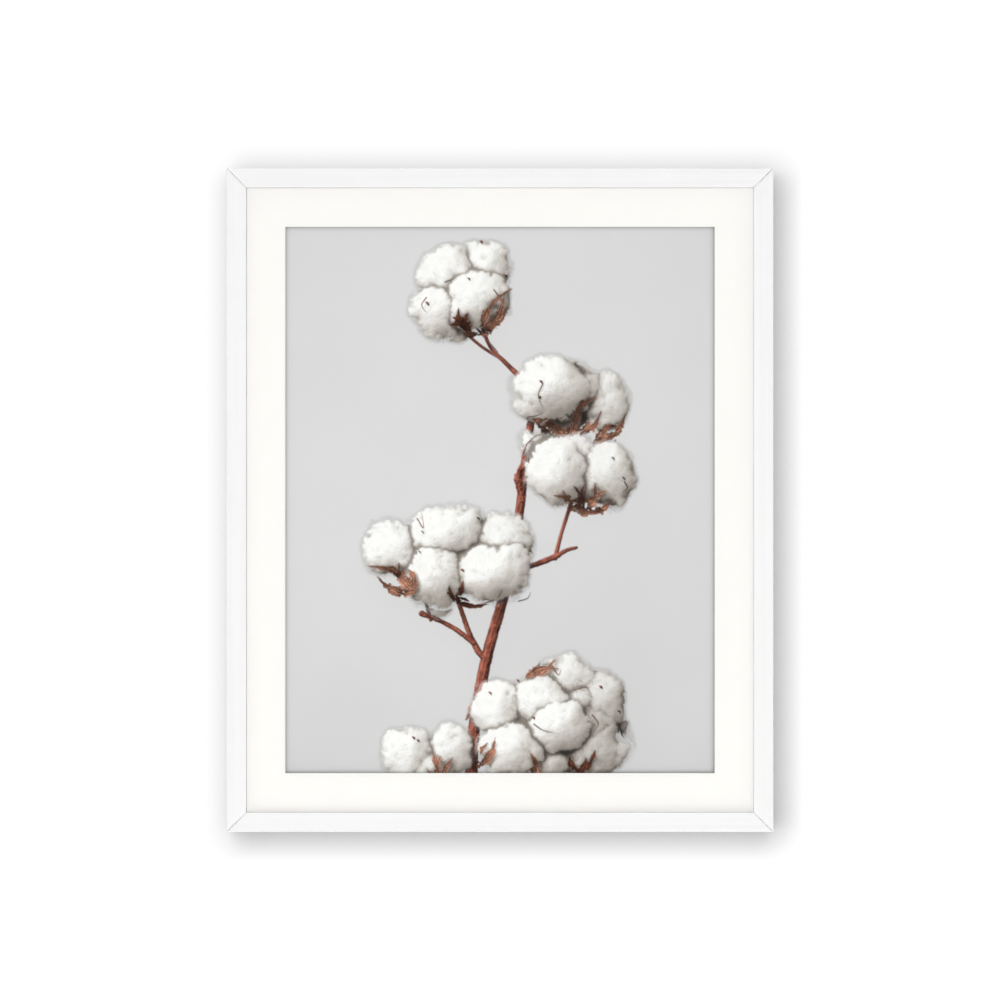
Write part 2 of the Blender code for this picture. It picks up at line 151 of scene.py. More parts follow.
class Shader:
    """A material's node tree under construction."""

    def __init__(self, name: str) -> None:
        """Start an empty material of this name."""
        self.material = bpy.data.materials.new(name)
        self.material.use_nodes = True
        self.tree = self.material.node_tree
        self.tree.nodes.clear()

    def node(
        self,
        kind: str,
        settings: dict[str, object],
        sockets: dict[str | int, object],
        output: str | int = 0,
    ) -> Signal:
        """Add any node.

        Args:
            kind: the node's type.
            settings: its own settings, put in place before its sockets.
            sockets: a value or a signal for each input, by name or number.
            output: which of its outputs to hand back.

        Returns:
            The output, ready for more maths.
        """
        made = self.tree.nodes.new(kind)
        for key, value in settings.items():
            setattr(made, key, value)
        for key, value in sockets.items():
            if isinstance(value, Signal):
                self.tree.links.new(value.socket, made.inputs[key])
            else:
                made.inputs[key].default_value = value
        return Signal(self, made.outputs[output])

    @cached_property
    def where(self) -> Signal:
        """Where the point is, in the frame's own metres."""
        return self.node("ShaderNodeTexCoord", {}, {}, "Object")

    def noise(self, per_metre: float | Lumps, detail: float = 3.0, rough: float = 0.5) -> Signal:
        """Smooth noise about 0.5.

        Args:
            per_metre: its lumps to the metre, the same all ways or along each axis.
            detail: how many finer layers it has.
            rough: how strong they are.

        Returns:
            The noise.
        """
        lumps = per_metre if isinstance(per_metre, tuple) else (per_metre,) * 3
        stretch = {0: self.where, 1: lumps}
        place = self.node("ShaderNodeVectorMath", {"operation": "MULTIPLY"}, stretch)
        sockets = {"Vector": place, "Scale": 1.0, "Detail": detail, "Roughness": rough}
        return self.node("ShaderNodeTexNoise", {"noise_dimensions": "3D"}, sockets)

    def mix(self, first: object, second: object, share: Signal | float) -> Signal:
        """A colour between two, through a Mix node."""
        colours = {0: share, 6: rgba(first), 7: rgba(second)}
        return self.node("ShaderNodeMix", {"data_type": "RGBA"}, colours, 2)

    def tinted(self, colour: object, amount: Signal) -> Signal:
        """A colour made lighter or darker by a grey factor."""
        grey = self.node("ShaderNodeCombineXYZ", {}, {0: amount, 1: amount, 2: amount})
        return self.node(
            "ShaderNodeMix", {"data_type": "RGBA", "blend_type": "MULTIPLY"},
            {0: 1.0, 6: rgba(colour), 7: grey}, 2,
        )

    def bump(self, height: Signal, distance: float, strength: float = 1.0) -> Signal:
        """A normal bent by a height, whose full step is a distance in metres."""
        sockets = {"Height": height, "Distance": distance, "Strength": strength}
        return self.node("ShaderNodeBump", {}, sockets)

    def surface(self, sockets: dict[str, object]) -> Signal:
        """A Principled shader with these sockets."""
        return self.node("ShaderNodeBsdfPrincipled", {}, sockets)

    def close(self, surface: Signal) -> bpy.types.Material:
        """Send the surface to the material's output, and hand the material over."""
        end = self.tree.nodes.new("ShaderNodeOutputMaterial")
        self.tree.links.new(surface.socket, end.inputs["Surface"])
        return self.material


def rgba(colour: object) -> object:
    """A colour with its alpha, unless it is a signal already."""
    if isinstance(colour, Signal):
        return colour
    return (*(float(part) for part in colour[:3]), 1.0)


# ---------------------------------------------------------------------------------------------
# Finishes


class Run(Enum):
    """The way that a length of wood runs."""

    ACROSS = (1.0, 0.0)
    UP = (0.0, 1.0)

    def grain(self, along: float, beside: float) -> Lumps:
        """Lumps to the metre on each axis, few along the wood and many beside it."""
        across, up = self.value
        return (along * across + beside * up, beside, along * up + beside * across)


@dataclass(frozen=True)
class PaintedWood:
    """White satin paint brushed along a straight-grained rail, which shows through faintly."""

    run: Run
    colour: Field = field(default_factory=lambda: tone(241.4, 241.2, 241.2))
    cooler: Field = field(default_factory=lambda: np.array([0.985, 0.995, 1.01]))
    rough: float = 0.42

    def material(self) -> bpy.types.Material:
        """The paint's material."""
        shader = Shader(f"white_paint_{self.run.name.lower()}")
        fine = shader.noise(self.run.grain(9.0, 2600.0), 2.0, 0.6)
        brush = shader.noise(self.run.grain(5.0, 620.0), 3.0, 0.6)
        cloud = shader.noise(14.0, 2.0)
        streak = 0.3 * fine + 0.7 * brush
        shade = 0.930 + 0.130 * streak + 0.010 * cloud
        tint = shader.mix(self.colour, self.colour * self.cooler, brush.ramp(0.5, 0.75))
        height = 0.7 * fine + 0.3 * brush
        return shader.close(shader.surface({
            "Base Color": shader.tinted(tint, shade),
            "Roughness": self.rough + 0.16 * (brush - 0.5),
            "Normal": shader.bump(height, 0.00006),
            "Specular IOR Level": 0.4,
        }))


@dataclass(frozen=True)
class BareWood:
    """Pale sawn softwood, where the rails are neither seen nor painted."""

    run: Run
    pale: tuple[float, float, float] = (0.62, 0.47, 0.31)
    dark: tuple[float, float, float] = (0.42, 0.28, 0.16)

    def material(self) -> bpy.types.Material:
        """The bare wood's material."""
        shader = Shader(f"bare_wood_{self.run.name.lower()}")
        ring = shader.noise(self.run.grain(5.0, 420.0), 3.0, 0.6)
        fibre = shader.noise(self.run.grain(60.0, 3600.0), 2.0)
        share = (0.75 * ring + 0.35 * fibre - 0.1).ramp(0.30, 0.75)
        return shader.close(shader.surface({
            "Base Color": shader.mix(self.pale, self.dark, share),
            "Roughness": 0.72 + 0.12 * fibre,
            "Normal": shader.bump(0.5 * ring + 0.5 * fibre, 0.00010),
        }))


@dataclass(frozen=True)
class Board:
    """Matt board or paper with a faint felt texture and specks of fibre."""

    name: str
    colour: tuple[float, float, float]
    specks: float = 0.02
    tooth: float = 0.00003
    rough: float = 0.88

    def material(self) -> bpy.types.Material:
        """The board's material."""
        shader = Shader(self.name)
        felt = shader.noise(1500.0, 3.0, 0.6)
        cloud = shader.noise(25.0, 2.0)
        shade = (1.0 - self.specks) + self.specks * (1.3 * felt + 0.7 * cloud)
        return shader.close(shader.surface({
            "Base Color": shader.tinted(self.colour, shade),
            "Roughness": self.rough + 0.08 * (felt - 0.5),
            "Normal": shader.bump(felt, self.tooth),
            "Specular IOR Level": 0.25,
        }))


@dataclass(frozen=True)
class PrintedPaper:
    """Matt art paper: the picture that was laid on its points, painted shadow of the mat's edge
    included, over the paper's own tooth.
    """

    layer: str

    def material(self) -> bpy.types.Material:
        """The printed paper's material."""
        shader = Shader("printed_paper")
        picture = shader.node("ShaderNodeAttribute", {"attribute_name": self.layer}, {}, "Color")
        tooth = shader.noise(1900.0, 2.0, 0.6)
        return shader.close(shader.surface({
            "Base Color": shader.tinted(picture, 0.988 + 0.024 * tooth),
            "Roughness": 0.66 + 0.10 * (tooth - 0.5),
            "Normal": shader.bump(tooth, 0.000012),
            "Specular IOR Level": 0.2,
        }))


@dataclass(frozen=True)
class PictureGlass:
    """Thin low-reflection glass: seen straight through, with a weak mirror at a slant."""

    index: float = 1.16
    rough: float = 0.03

    def material(self) -> bpy.types.Material:
        """The glass's material."""
        shader = Shader("picture_glass")
        slant = shader.node("ShaderNodeFresnel", {}, {"IOR": self.index})
        wave = shader.noise(6.0, 1.0)
        mirror = shader.surface({
            "Base Color": (0.96, 0.985, 0.975, 1.0),
            "Metallic": 1.0,
            "Roughness": self.rough,
            "Normal": shader.bump(wave, 0.00005),
        })
        clear = shader.node("ShaderNodeBsdfTransparent", {}, {"Color": (0.988, 0.988, 0.986, 1.0)})
        return shader.close(shader.node("ShaderNodeMixShader", {}, {0: slant, 1: clear, 2: mirror}))


@dataclass(frozen=True)
class KraftPaper:
    """Brown kraft paper: long fibres every way, faint ribs and a few darker flecks."""

    pale: tuple[float, float, float] = (0.47, 0.31, 0.18)
    dark: tuple[float, float, float] = (0.33, 0.20, 0.11)

    def material(self) -> bpy.types.Material:
        """The kraft paper's material."""
        shader = Shader("kraft_paper")
        fibre_up = shader.noise((1800.0, 1800.0, 220.0), 2.0, 0.6)
        fibre_across = shader.noise((260.0, 1800.0, 1500.0), 2.0, 0.6)
        cloud = shader.noise(18.0, 3.0)
        rib = shader.node(
            "ShaderNodeTexWave", {"bands_direction": "X"},
            {"Vector": shader.where, "Scale": 160.0, "Distortion": 0.6, "Detail": 1.0}, "Fac",
        )
        fibre = 0.5 * fibre_up + 0.5 * fibre_across
        fleck = fibre_across.ramp(0.70, 0.78)
        share = (0.9 * fibre + 0.5 * cloud + 0.08 * rib - 0.2).ramp(0.25, 0.85) + 0.35 * fleck
        return shader.close(shader.surface({
            "Base Color": shader.mix(self.pale, self.dark, share.clamp()),
            "Roughness": 0.74 + 0.12 * fibre,
            "Normal": shader.bump(0.6 * fibre + 0.15 * rib + 0.2 * cloud, 0.00006),
            "Specular IOR Level": 0.3,
        }))


class Plating(Enum):
    """Metal surfaces: base colour and roughness."""

    ZINC = ((0.62, 0.63, 0.64), 0.34)
    BRIGHT = ((0.66, 0.65, 0.63), 0.26)
    BLUED = ((0.28, 0.29, 0.32), 0.38)


@dataclass(frozen=True)
class Metal:
    """Thin plated steel with rolling lines, smudges and a little dullness."""

    plating: Plating

    def material(self) -> bpy.types.Material:
        """The metal's material."""
        colour, rough = self.plating.value
        shader = Shader(f"{self.plating.name.lower()}_steel")
        lines = shader.noise((90.0, 2400.0, 5200.0), 2.0)
        smudge = shader.noise(260.0, 3.0, 0.6)
        return shader.close(shader.surface({
            "Base Color": shader.tinted(colour, 0.86 + 0.12 * lines + 0.12 * smudge),
            "Metallic": 1.0,
            "Roughness": rough + 0.22 * (smudge - 0.4) + 0.08 * lines,
            "Normal": shader.bump(lines, 0.00001),
        }))


@dataclass(frozen=True)
class Rubber:
    """Soft translucent grey bumper rubber with a faint mould grain."""

    colour: tuple[float, float, float] = (0.58, 0.58, 0.56)

    def material(self) -> bpy.types.Material:
        """The rubber's material."""
        shader = Shader("bumper_rubber")
        grain = shader.noise(2600.0, 2.0)
        cloud = shader.noise(400.0, 2.0)
        return shader.close(shader.surface({
            "Base Color": shader.tinted(self.colour, 0.93 + 0.10 * cloud + 0.03 * grain),
            "Roughness": 0.52 + 0.16 * grain,
            "Normal": shader.bump(grain, 0.00003),
        }))


@dataclass(frozen=True)
class Hardboard:
    """Smooth brown hardboard with pressed fibres."""

    def material(self) -> bpy.types.Material:
        """The hardboard's material."""
        shader = Shader("hardboard")
        fibre = shader.noise((900.0, 900.0, 600.0), 4.0, 0.65)
        cloud = shader.noise(30.0, 2.0)
        share = (0.7 * fibre + 0.3 * cloud).ramp(0.35, 0.70)
        return shader.close(shader.surface({
            "Base Color": shader.mix((0.30, 0.185, 0.10), (0.42, 0.28, 0.165), share),
            "Roughness": 0.60 + 0.15 * fibre,
            "Normal": shader.bump(fibre, 0.00005),
        }))


@dataclass(frozen=True)
class OneSidedWall:
    """A white wall that glows by itself rather than taking light, with a painted drop shadow round
    the frame; it stands only for who looks from the room.
    """

    painted_shadow_reach: float = 21.5 * MM
    painted_shadow_depth: float = 0.86
    painted_shadow_lean: tuple[float, float, float] = (-0.56, -1.0, 0.44)
    glow: float = 1.01

    def material(self) -> bpy.types.Material:
        """The wall's material: a white glow, darkened beside the frame by a painted drop shadow,
        and clear from behind.
        """
        shader = Shader("room_wall")
        behind = shader.node("ShaderNodeNewGeometry", {}, {}, "Backfacing")
        unit = {"operation": "NORMALIZE"}
        light = shader.node("ShaderNodeVectorMath", unit, {0: self.painted_shadow_lean}, "Vector")
        reach = {"Distance": self.painted_shadow_reach, "Normal": light}
        # painted drop shadow: ambient occlusion about a normal leaning up and to the left darkens
        # the glow beside the frame, most at its right and foot
        near = shader.node("ShaderNodeAmbientOcclusion", {"samples": 8}, reach, "AO")
        painted_shadow_factor = 1.0 - self.painted_shadow_depth * (1.0 - near)
        white = shader.surface({
            # the wall takes no light: its white is all glow from the emission below
            "Base Color": (0.0, 0.0, 0.0, 1.0),
            "Roughness": 1.0,
            "Specular IOR Level": 0.0,
            "Emission Color": shader.tinted((1.0, 1.0, 1.0), painted_shadow_factor),
            "Emission Strength": self.glow,
        })
        clear = shader.node("ShaderNodeBsdfTransparent", {}, {})
        return shader.close(shader.node("ShaderNodeMixShader", {}, {0: behind, 1: white, 2: clear}))


# ---------------------------------------------------------------------------------------------
# The picture


def smoothstep(low: float, high: float, value: Field) -> Field:
    """A soft ramp from 0 at low to 1 at high."""
    share = np.clip((value - low) / (high - low), 0.0, 1.0)
    return share * share * (3.0 - 2.0 * share)


def blend(first: Field, second: Field, share: Field | float) -> Field:
    """Mix of two fields: first where share is 0, second where it is 1."""
    return first + (second - first) * share


class Grain:
    """Seeded smooth noise and blurs over one canvas, both made in its frequency plane."""

    def __init__(self, shape: tuple[int, int], step: float, seed: int) -> None:
        """Keep the canvas's frequencies.

        Args:
            shape: rows and columns.
            step: millimetres from one cell to the next.
            seed: of every draw made here.
        """
        self.shape = shape
        self.draw = np.random.default_rng(seed)
        self.up = np.fft.fftfreq(shape[0], step)[:, None]
        self.across = np.fft.rfftfreq(shape[1], step)[None, :]

    def _window(self, size: float, stretch: float = 1.0, turn: float = 0.0) -> Field:
        """Gaussian of a size in millimetres, as it looks in the frequency plane."""
        along = self.across * math.cos(turn) + self.up * math.sin(turn)
        beside = self.up * math.cos(turn) - self.across * math.sin(turn)
        return np.exp(-2.0 * (math.pi * size) ** 2 * ((along * stretch) ** 2 + beside**2))

    def blur(self, field: Field, size: float) -> Field:
        """The field softened by a Gaussian of a size in millimetres."""
        return np.fft.irfft2(np.fft.rfft2(field) * self._window(size), self.shape)

    def noise(self, size: float, stretch: float = 1.0, turn: float = 0.0) -> Field:
        """Smooth noise of unit spread.

        Args:
            size: of its lumps, in millimetres.
            stretch: how many times longer they are along the turn.
            turn: angle of the long way, in radians.

        Returns:
            The noise, one value a cell.
        """
        white = np.fft.rfft2(self.draw.standard_normal(self.shape))
        window = self._window(size, stretch, turn) - self._window(size * 3.0, stretch, turn)
        field = np.fft.irfft2(white * window, self.shape)
        return field / field.std()

    def fibres(self, size: float, stretch: float) -> Field:
        """Noise of short strands that lie every way, patch by patch."""
        total = np.zeros(self.shape)
        weight = np.zeros(self.shape)
        for number in range(5):
            share = np.exp(1.6 * self.noise(5.0))
            total += share * self.noise(size, stretch, math.pi * number / 5 + 0.2)
            weight += share
        field = total / weight
        return field / field.std()


@dataclass(frozen=True)
class Husk:
    """Colours of one dry, woody surface, from its dark streaks to its light ones."""

    dark: Field
    light: Field


BARK = Husk(tone(84, 36, 28), tone(184, 112, 92))
BRACT = Husk(tone(66, 32, 24), tone(206, 150, 124))
PITH = Husk(tone(44, 24, 20), tone(138, 84, 64))
LINT = np.array([1.0, 0.998, 0.982])
LINT_IN_SHADE = np.array([0.50, 0.475, 0.44])


class Relief:
    """The picture as a relief under construction: height, slopes, colour and cover, cell by cell.

    Across and up are millimetres from the middle of the mat's window; height is towards the eye.
    """

    FAR = -60.0

    def __init__(self, width: float, height: float, step: float, seed: int) -> None:
        """Lay an empty canvas.

        Args:
            width: in millimetres.
            height: in millimetres.
            step: millimetres from one cell to the next.
            seed: of its noise.
        """
        self.step = step
        columns, rows = round(width / step), round(height / step)
        self.across = (np.arange(columns) + 0.5) * step - width / 2
        self.up = height / 2 - (np.arange(rows) + 0.5) * step
        self.grain = Grain((rows, columns), step, seed)
        shape = (rows, columns)
        self.height = np.full(shape, self.FAR)
        self.lean_x = np.zeros(shape)
        self.lean_z = np.zeros(shape)
        self.cover = np.zeros(shape)
        self.down = np.zeros(shape)
        self.paint = np.zeros((*shape, 3))
        self.warp_x = 1.1 * self.grain.noise(4.6) + 0.35 * self.grain.noise(1.3)
        self.warp_z = 1.1 * self.grain.noise(4.6) + 0.35 * self.grain.noise(1.3)
        self.knot = self.grain.noise(1.7)
        self.fuzz = self.grain.noise(0.55)
        self.strand = self.grain.fibres(0.22, 6.0)
        self.skin = np.zeros(shape)

    def solid(self) -> Field:
        """1 where something stands, and 0 on the ground."""
        return (self.cover > 0.4).astype(float)

    def smoothed(self, size: float) -> tuple[Field, Field]:
        """The height softened over a size in millimetres, and how much stands around each cell."""
        solid = self.solid()
        mass = self.grain.blur(solid, size) + 1e-4
        return self.grain.blur(np.where(solid > 0, self.height, 0.0), size) / mass, mass

    def settle(self) -> None:
        """Keep the softened surface that later pieces lie on."""
        height, mass = self.smoothed(1.6)
        self.skin = np.where(mass > 0.03, height, 0.0)

    def cut(self, low: Point, high: Point) -> tuple[slice, slice] | None:
        """The canvas's cells inside a box in millimetres, or None where there are none."""
        columns = np.searchsorted(self.across, [low[0], high[0]])
        rows = np.searchsorted(-self.up, [-high[1], -low[1]])
        if columns[1] - columns[0] < 4 or rows[1] - rows[0] < 4:
            return None
        return slice(rows[0], rows[1]), slice(columns[0], columns[1])

    def press(
        self, part: tuple[slice, slice], height: Field, cover: Field, paint: Field, down: float,
        soft: float,
    ) -> None:
        """Lay one piece of the picture into the relief where it stands above what is there.

        Args:
            part: the cells it covers.
            height: of its surface.
            cover: how solid it is, 0 to 1.
            paint: its colour.
            down: 1 for cotton and 0 for wood.
            soft: millimetres of height over which it merges with what it meets.
        """
        rise, run = np.gradient(height, self.step)
        above = smoothstep(-soft, soft, height - self.height[part])
        share = cover * above
        self.height[part] = blend(self.height[part], height, np.where(share > 0.02, np.maximum(
            share, (self.cover[part] < 0.3) * 1.0), 0.0))
        self.lean_x[part] = blend(self.lean_x[part], run, share)
        self.lean_z[part] = blend(self.lean_z[part], -rise, share)
        self.down[part] = blend(self.down[part], down, share)
        self.paint[part] = blend(self.paint[part], paint, share[..., None])
        self.cover[part] = self.cover[part] + (1.0 - self.cover[part]) * share


@dataclass(frozen=True)
class Lock:
    """One plump lump of lint: a dome of uneven outline whose rim frays into the air."""

    across: float
    up: float
    depth: float
    wide: float
    tall: float
    turn: float = 0.0
    dim: float = 0.0

    def press_into(self, relief: Relief) -> None:
        """Lay the lock into the relief."""
        reach = 1.35 * max(self.wide, self.tall) + 3.0
        part = relief.cut((self.across - reach, self.up - reach),
                          (self.across + reach, self.up + reach))
        if part is None:
            return
        x = relief.across[part[1]][None, :] - self.across + relief.warp_x[part]
        z = relief.up[part[0]][:, None] - self.up + relief.warp_z[part]
        u = (x * math.cos(self.turn) + z * math.sin(self.turn)) / self.wide
        v = (z * math.cos(self.turn) - x * math.sin(self.turn)) / self.tall
        size = min(self.wide, self.tall)
        knot, fuzz, strand = relief.knot[part], relief.fuzz[part], relief.strand[part]
        far = np.sqrt(u * u + v * v)
        inside = (1.0 - far) * size
        dome = np.sqrt(np.maximum(1.12 - far**2, 0.0))
        height = self.depth + 0.80 * size * dome + 0.20 * knot + 0.09 * fuzz + 0.048 * strand
        frayed = inside + 0.24 * strand + 0.22 * fuzz
        body = smoothstep(-0.6, 1.4, frayed)
        haze = 0.36 * smoothstep(-2.6, 0.8, inside + 0.32 * strand)
        tint = 0.972 + 0.012 * knot + 0.022 * strand
        paint = tint[..., None] * blend(LINT, LINT_IN_SHADE, self.dim)
        relief.press(part, height, np.maximum(body, haze), paint, 1.0, 0.8)


@dataclass(frozen=True)
class Blade:
    """A long woody or papery shape along a curved spine: a stem, a twig, a bract or a thread."""

    points: tuple[Point, ...]
    widths: tuple[float, ...]
    depth: tuple[float, float]
    husk: Husk
    round_back: bool = True
    ragged: float = 0.0
    ridges: float = 0.0
    laid: bool = False

    def spine(self, count: int) -> tuple[Field, Field, Field]:
        """Points, half widths and heights along the spine.

        Args:
            count: how many.

        Returns:
            The points, their half widths and their heights.
        """
        knots = np.array(self.points, dtype=float)
        ends = np.vstack([2 * knots[0] - knots[1], knots, 2 * knots[-1] - knots[-2]])
        place = np.linspace(0, len(knots) - 1 - 1e-9, count)
        index = place.astype(int)
        t = (place - index)[:, None]
        a, b, c, d = (ends[index + k] for k in range(4))
        line = 0.5 * (2 * b + (c - a) * t + (2 * a - 5 * b + 4 * c - d) * t**2
                      + (3 * b - a - 3 * c + d) * t**3)
        share = np.linspace(0, 1, count)
        width = np.interp(share, np.linspace(0, 1, len(self.widths)), self.widths)
        return line, width, blend(self.depth[0], self.depth[1], share)

    def press_into(self, relief: Relief) -> None:
        """Lay the blade into the relief."""
        length = float(np.sum(np.hypot(*np.diff(np.array(self.points), axis=0).T)))
        count = int(np.clip(length / 0.8, 12, 160))
        line, width, depth = self.spine(count)
        along = np.concatenate([[0.0], np.cumsum(np.hypot(*np.diff(line, axis=0).T))])
        pad = width.max() + 1.5
        part = relief.cut(tuple(line.min(0) - pad), tuple(line.max(0) + pad))
        if part is None:
            return
        x = relief.across[part[1]][None, :]
        z = relief.up[part[0]][:, None]
        shape = (z.shape[0], x.shape[1])
        best = np.full(shape, 1e9)
        side = np.zeros(shape)
        half = np.full(shape, 1e-3)
        high = np.zeros(shape)
        run = np.zeros(shape)
        for k in range(count - 1):
            start, step = line[k], line[k + 1] - line[k]
            size = float(step @ step)
            t = np.clip(((x - start[0]) * step[0] + (z - start[1]) * step[1]) / size, 0.0, 1.0)
            dx, dz = x - start[0] - t * step[0], z - start[1] - t * step[1]
            far = dx * dx + dz * dz
            nearer = far < best
            best = np.where(nearer, far, best)
            signed = np.sign(step[0] * dz - step[1] * dx)
            side = np.where(nearer, signed * np.sqrt(far), side)
            half = np.where(nearer, blend(width[k], width[k + 1], t), half)
            high = np.where(nearer, blend(depth[k], depth[k + 1], t), high)
            run = np.where(nearer, blend(along[k], along[k + 1], t), run)
        lump, knot = relief.knot[part], relief.fuzz[part]
        half = half * (1.0 + self.ragged * (0.6 * lump + 0.6 * knot))
        share = side / np.maximum(half, 1e-3)
        arch = np.sqrt(np.clip(1.0 - share**2, 0.0, 1.0))
        lift = half * arch if self.round_back else 0.35 * half * (1.0 - arch)
        wave = 0.55 * np.sin(share * 8.0 + 0.12 * run + 0.9 * lump)
        wave += 0.45 * np.sin(share * 15.0 - 0.21 * run + 1.3 * lump)
        height = high + lift + self.ridges * wave
        if self.laid:
            height += relief.skin[part]
        cover = smoothstep(-0.18, 0.22, half - np.abs(side))
        mix = np.clip(0.5 + 0.34 * wave + 0.14 * lump + 0.06 * knot, 0.0, 1.0)
        paint = blend(self.husk.dark, self.husk.light, mix[..., None])
        relief.press(part, height, cover, paint, 0.0, 0.25)


def twig(points: tuple[Point, ...], widths: tuple[float, ...], height: float, ragged: float,
         husk: Husk = BARK, ridges: float = 0.0) -> Blade:
    """A round stem or twig that lies at one height."""
    return Blade(points, widths, (height, height), husk, True, ragged, ridges)


@dataclass(frozen=True)
class Cup:
    """The dry bracts that hold a boll: pointed, ribbed blades that fan out from its stalk."""

    foot: Point
    tips: tuple[Point, ...]
    width: float
    bow: float = 0.25
    husk: Husk = BRACT

    def press_into(self, relief: Relief) -> None:
        """Lay the bracts into the relief, each a little in front of the last."""
        for number, tip in enumerate(self.tips):
            across, up = tip[0] - self.foot[0], tip[1] - self.foot[1]
            side = self.bow if number % 2 else -self.bow
            bend = (self.foot[0] + 0.55 * across - side * up * 0.6,
                    self.foot[1] + 0.55 * up + side * across * 0.6)
            lift = 1.6 + 0.5 * number
            Blade((self.foot, bend, tip), (0.6 * self.width, self.width, 0.7 * self.width, 0.3),
                  (lift, lift), self.husk, False, 0.34, 0.42, True).press_into(relief)


@dataclass(frozen=True)
class Boll:
    """One open boll or a cluster of them: its lint, what cups it, and its dry tips and threads."""

    locks: tuple[Lock, ...]
    cups: tuple[Cup, ...] = ()
    threads: tuple[tuple[Point, ...], ...] = ()
    specks: tuple[Point, ...] = ()

    def press_into(self, relief: Relief) -> None:
        """Lay the whole boll into the relief."""
        for lock in self.locks:
            lock.press_into(relief)
        relief.settle()
        for cup in self.cups:
            cup.press_into(relief)
        for points in self.threads:
            Blade(points, (0.45, 0.34, 0.14), (0.9, 0.9), PITH, laid=True).press_into(relief)
        for across, up in self.specks:
            points = ((across - 1.1, up + 0.8), (across, up), (across + 0.5, up - 1.1))
            Blade(points, (0.4, 0.9, 0.3), (0.8, 0.8), PITH, ragged=0.3,
                  laid=True).press_into(relief)


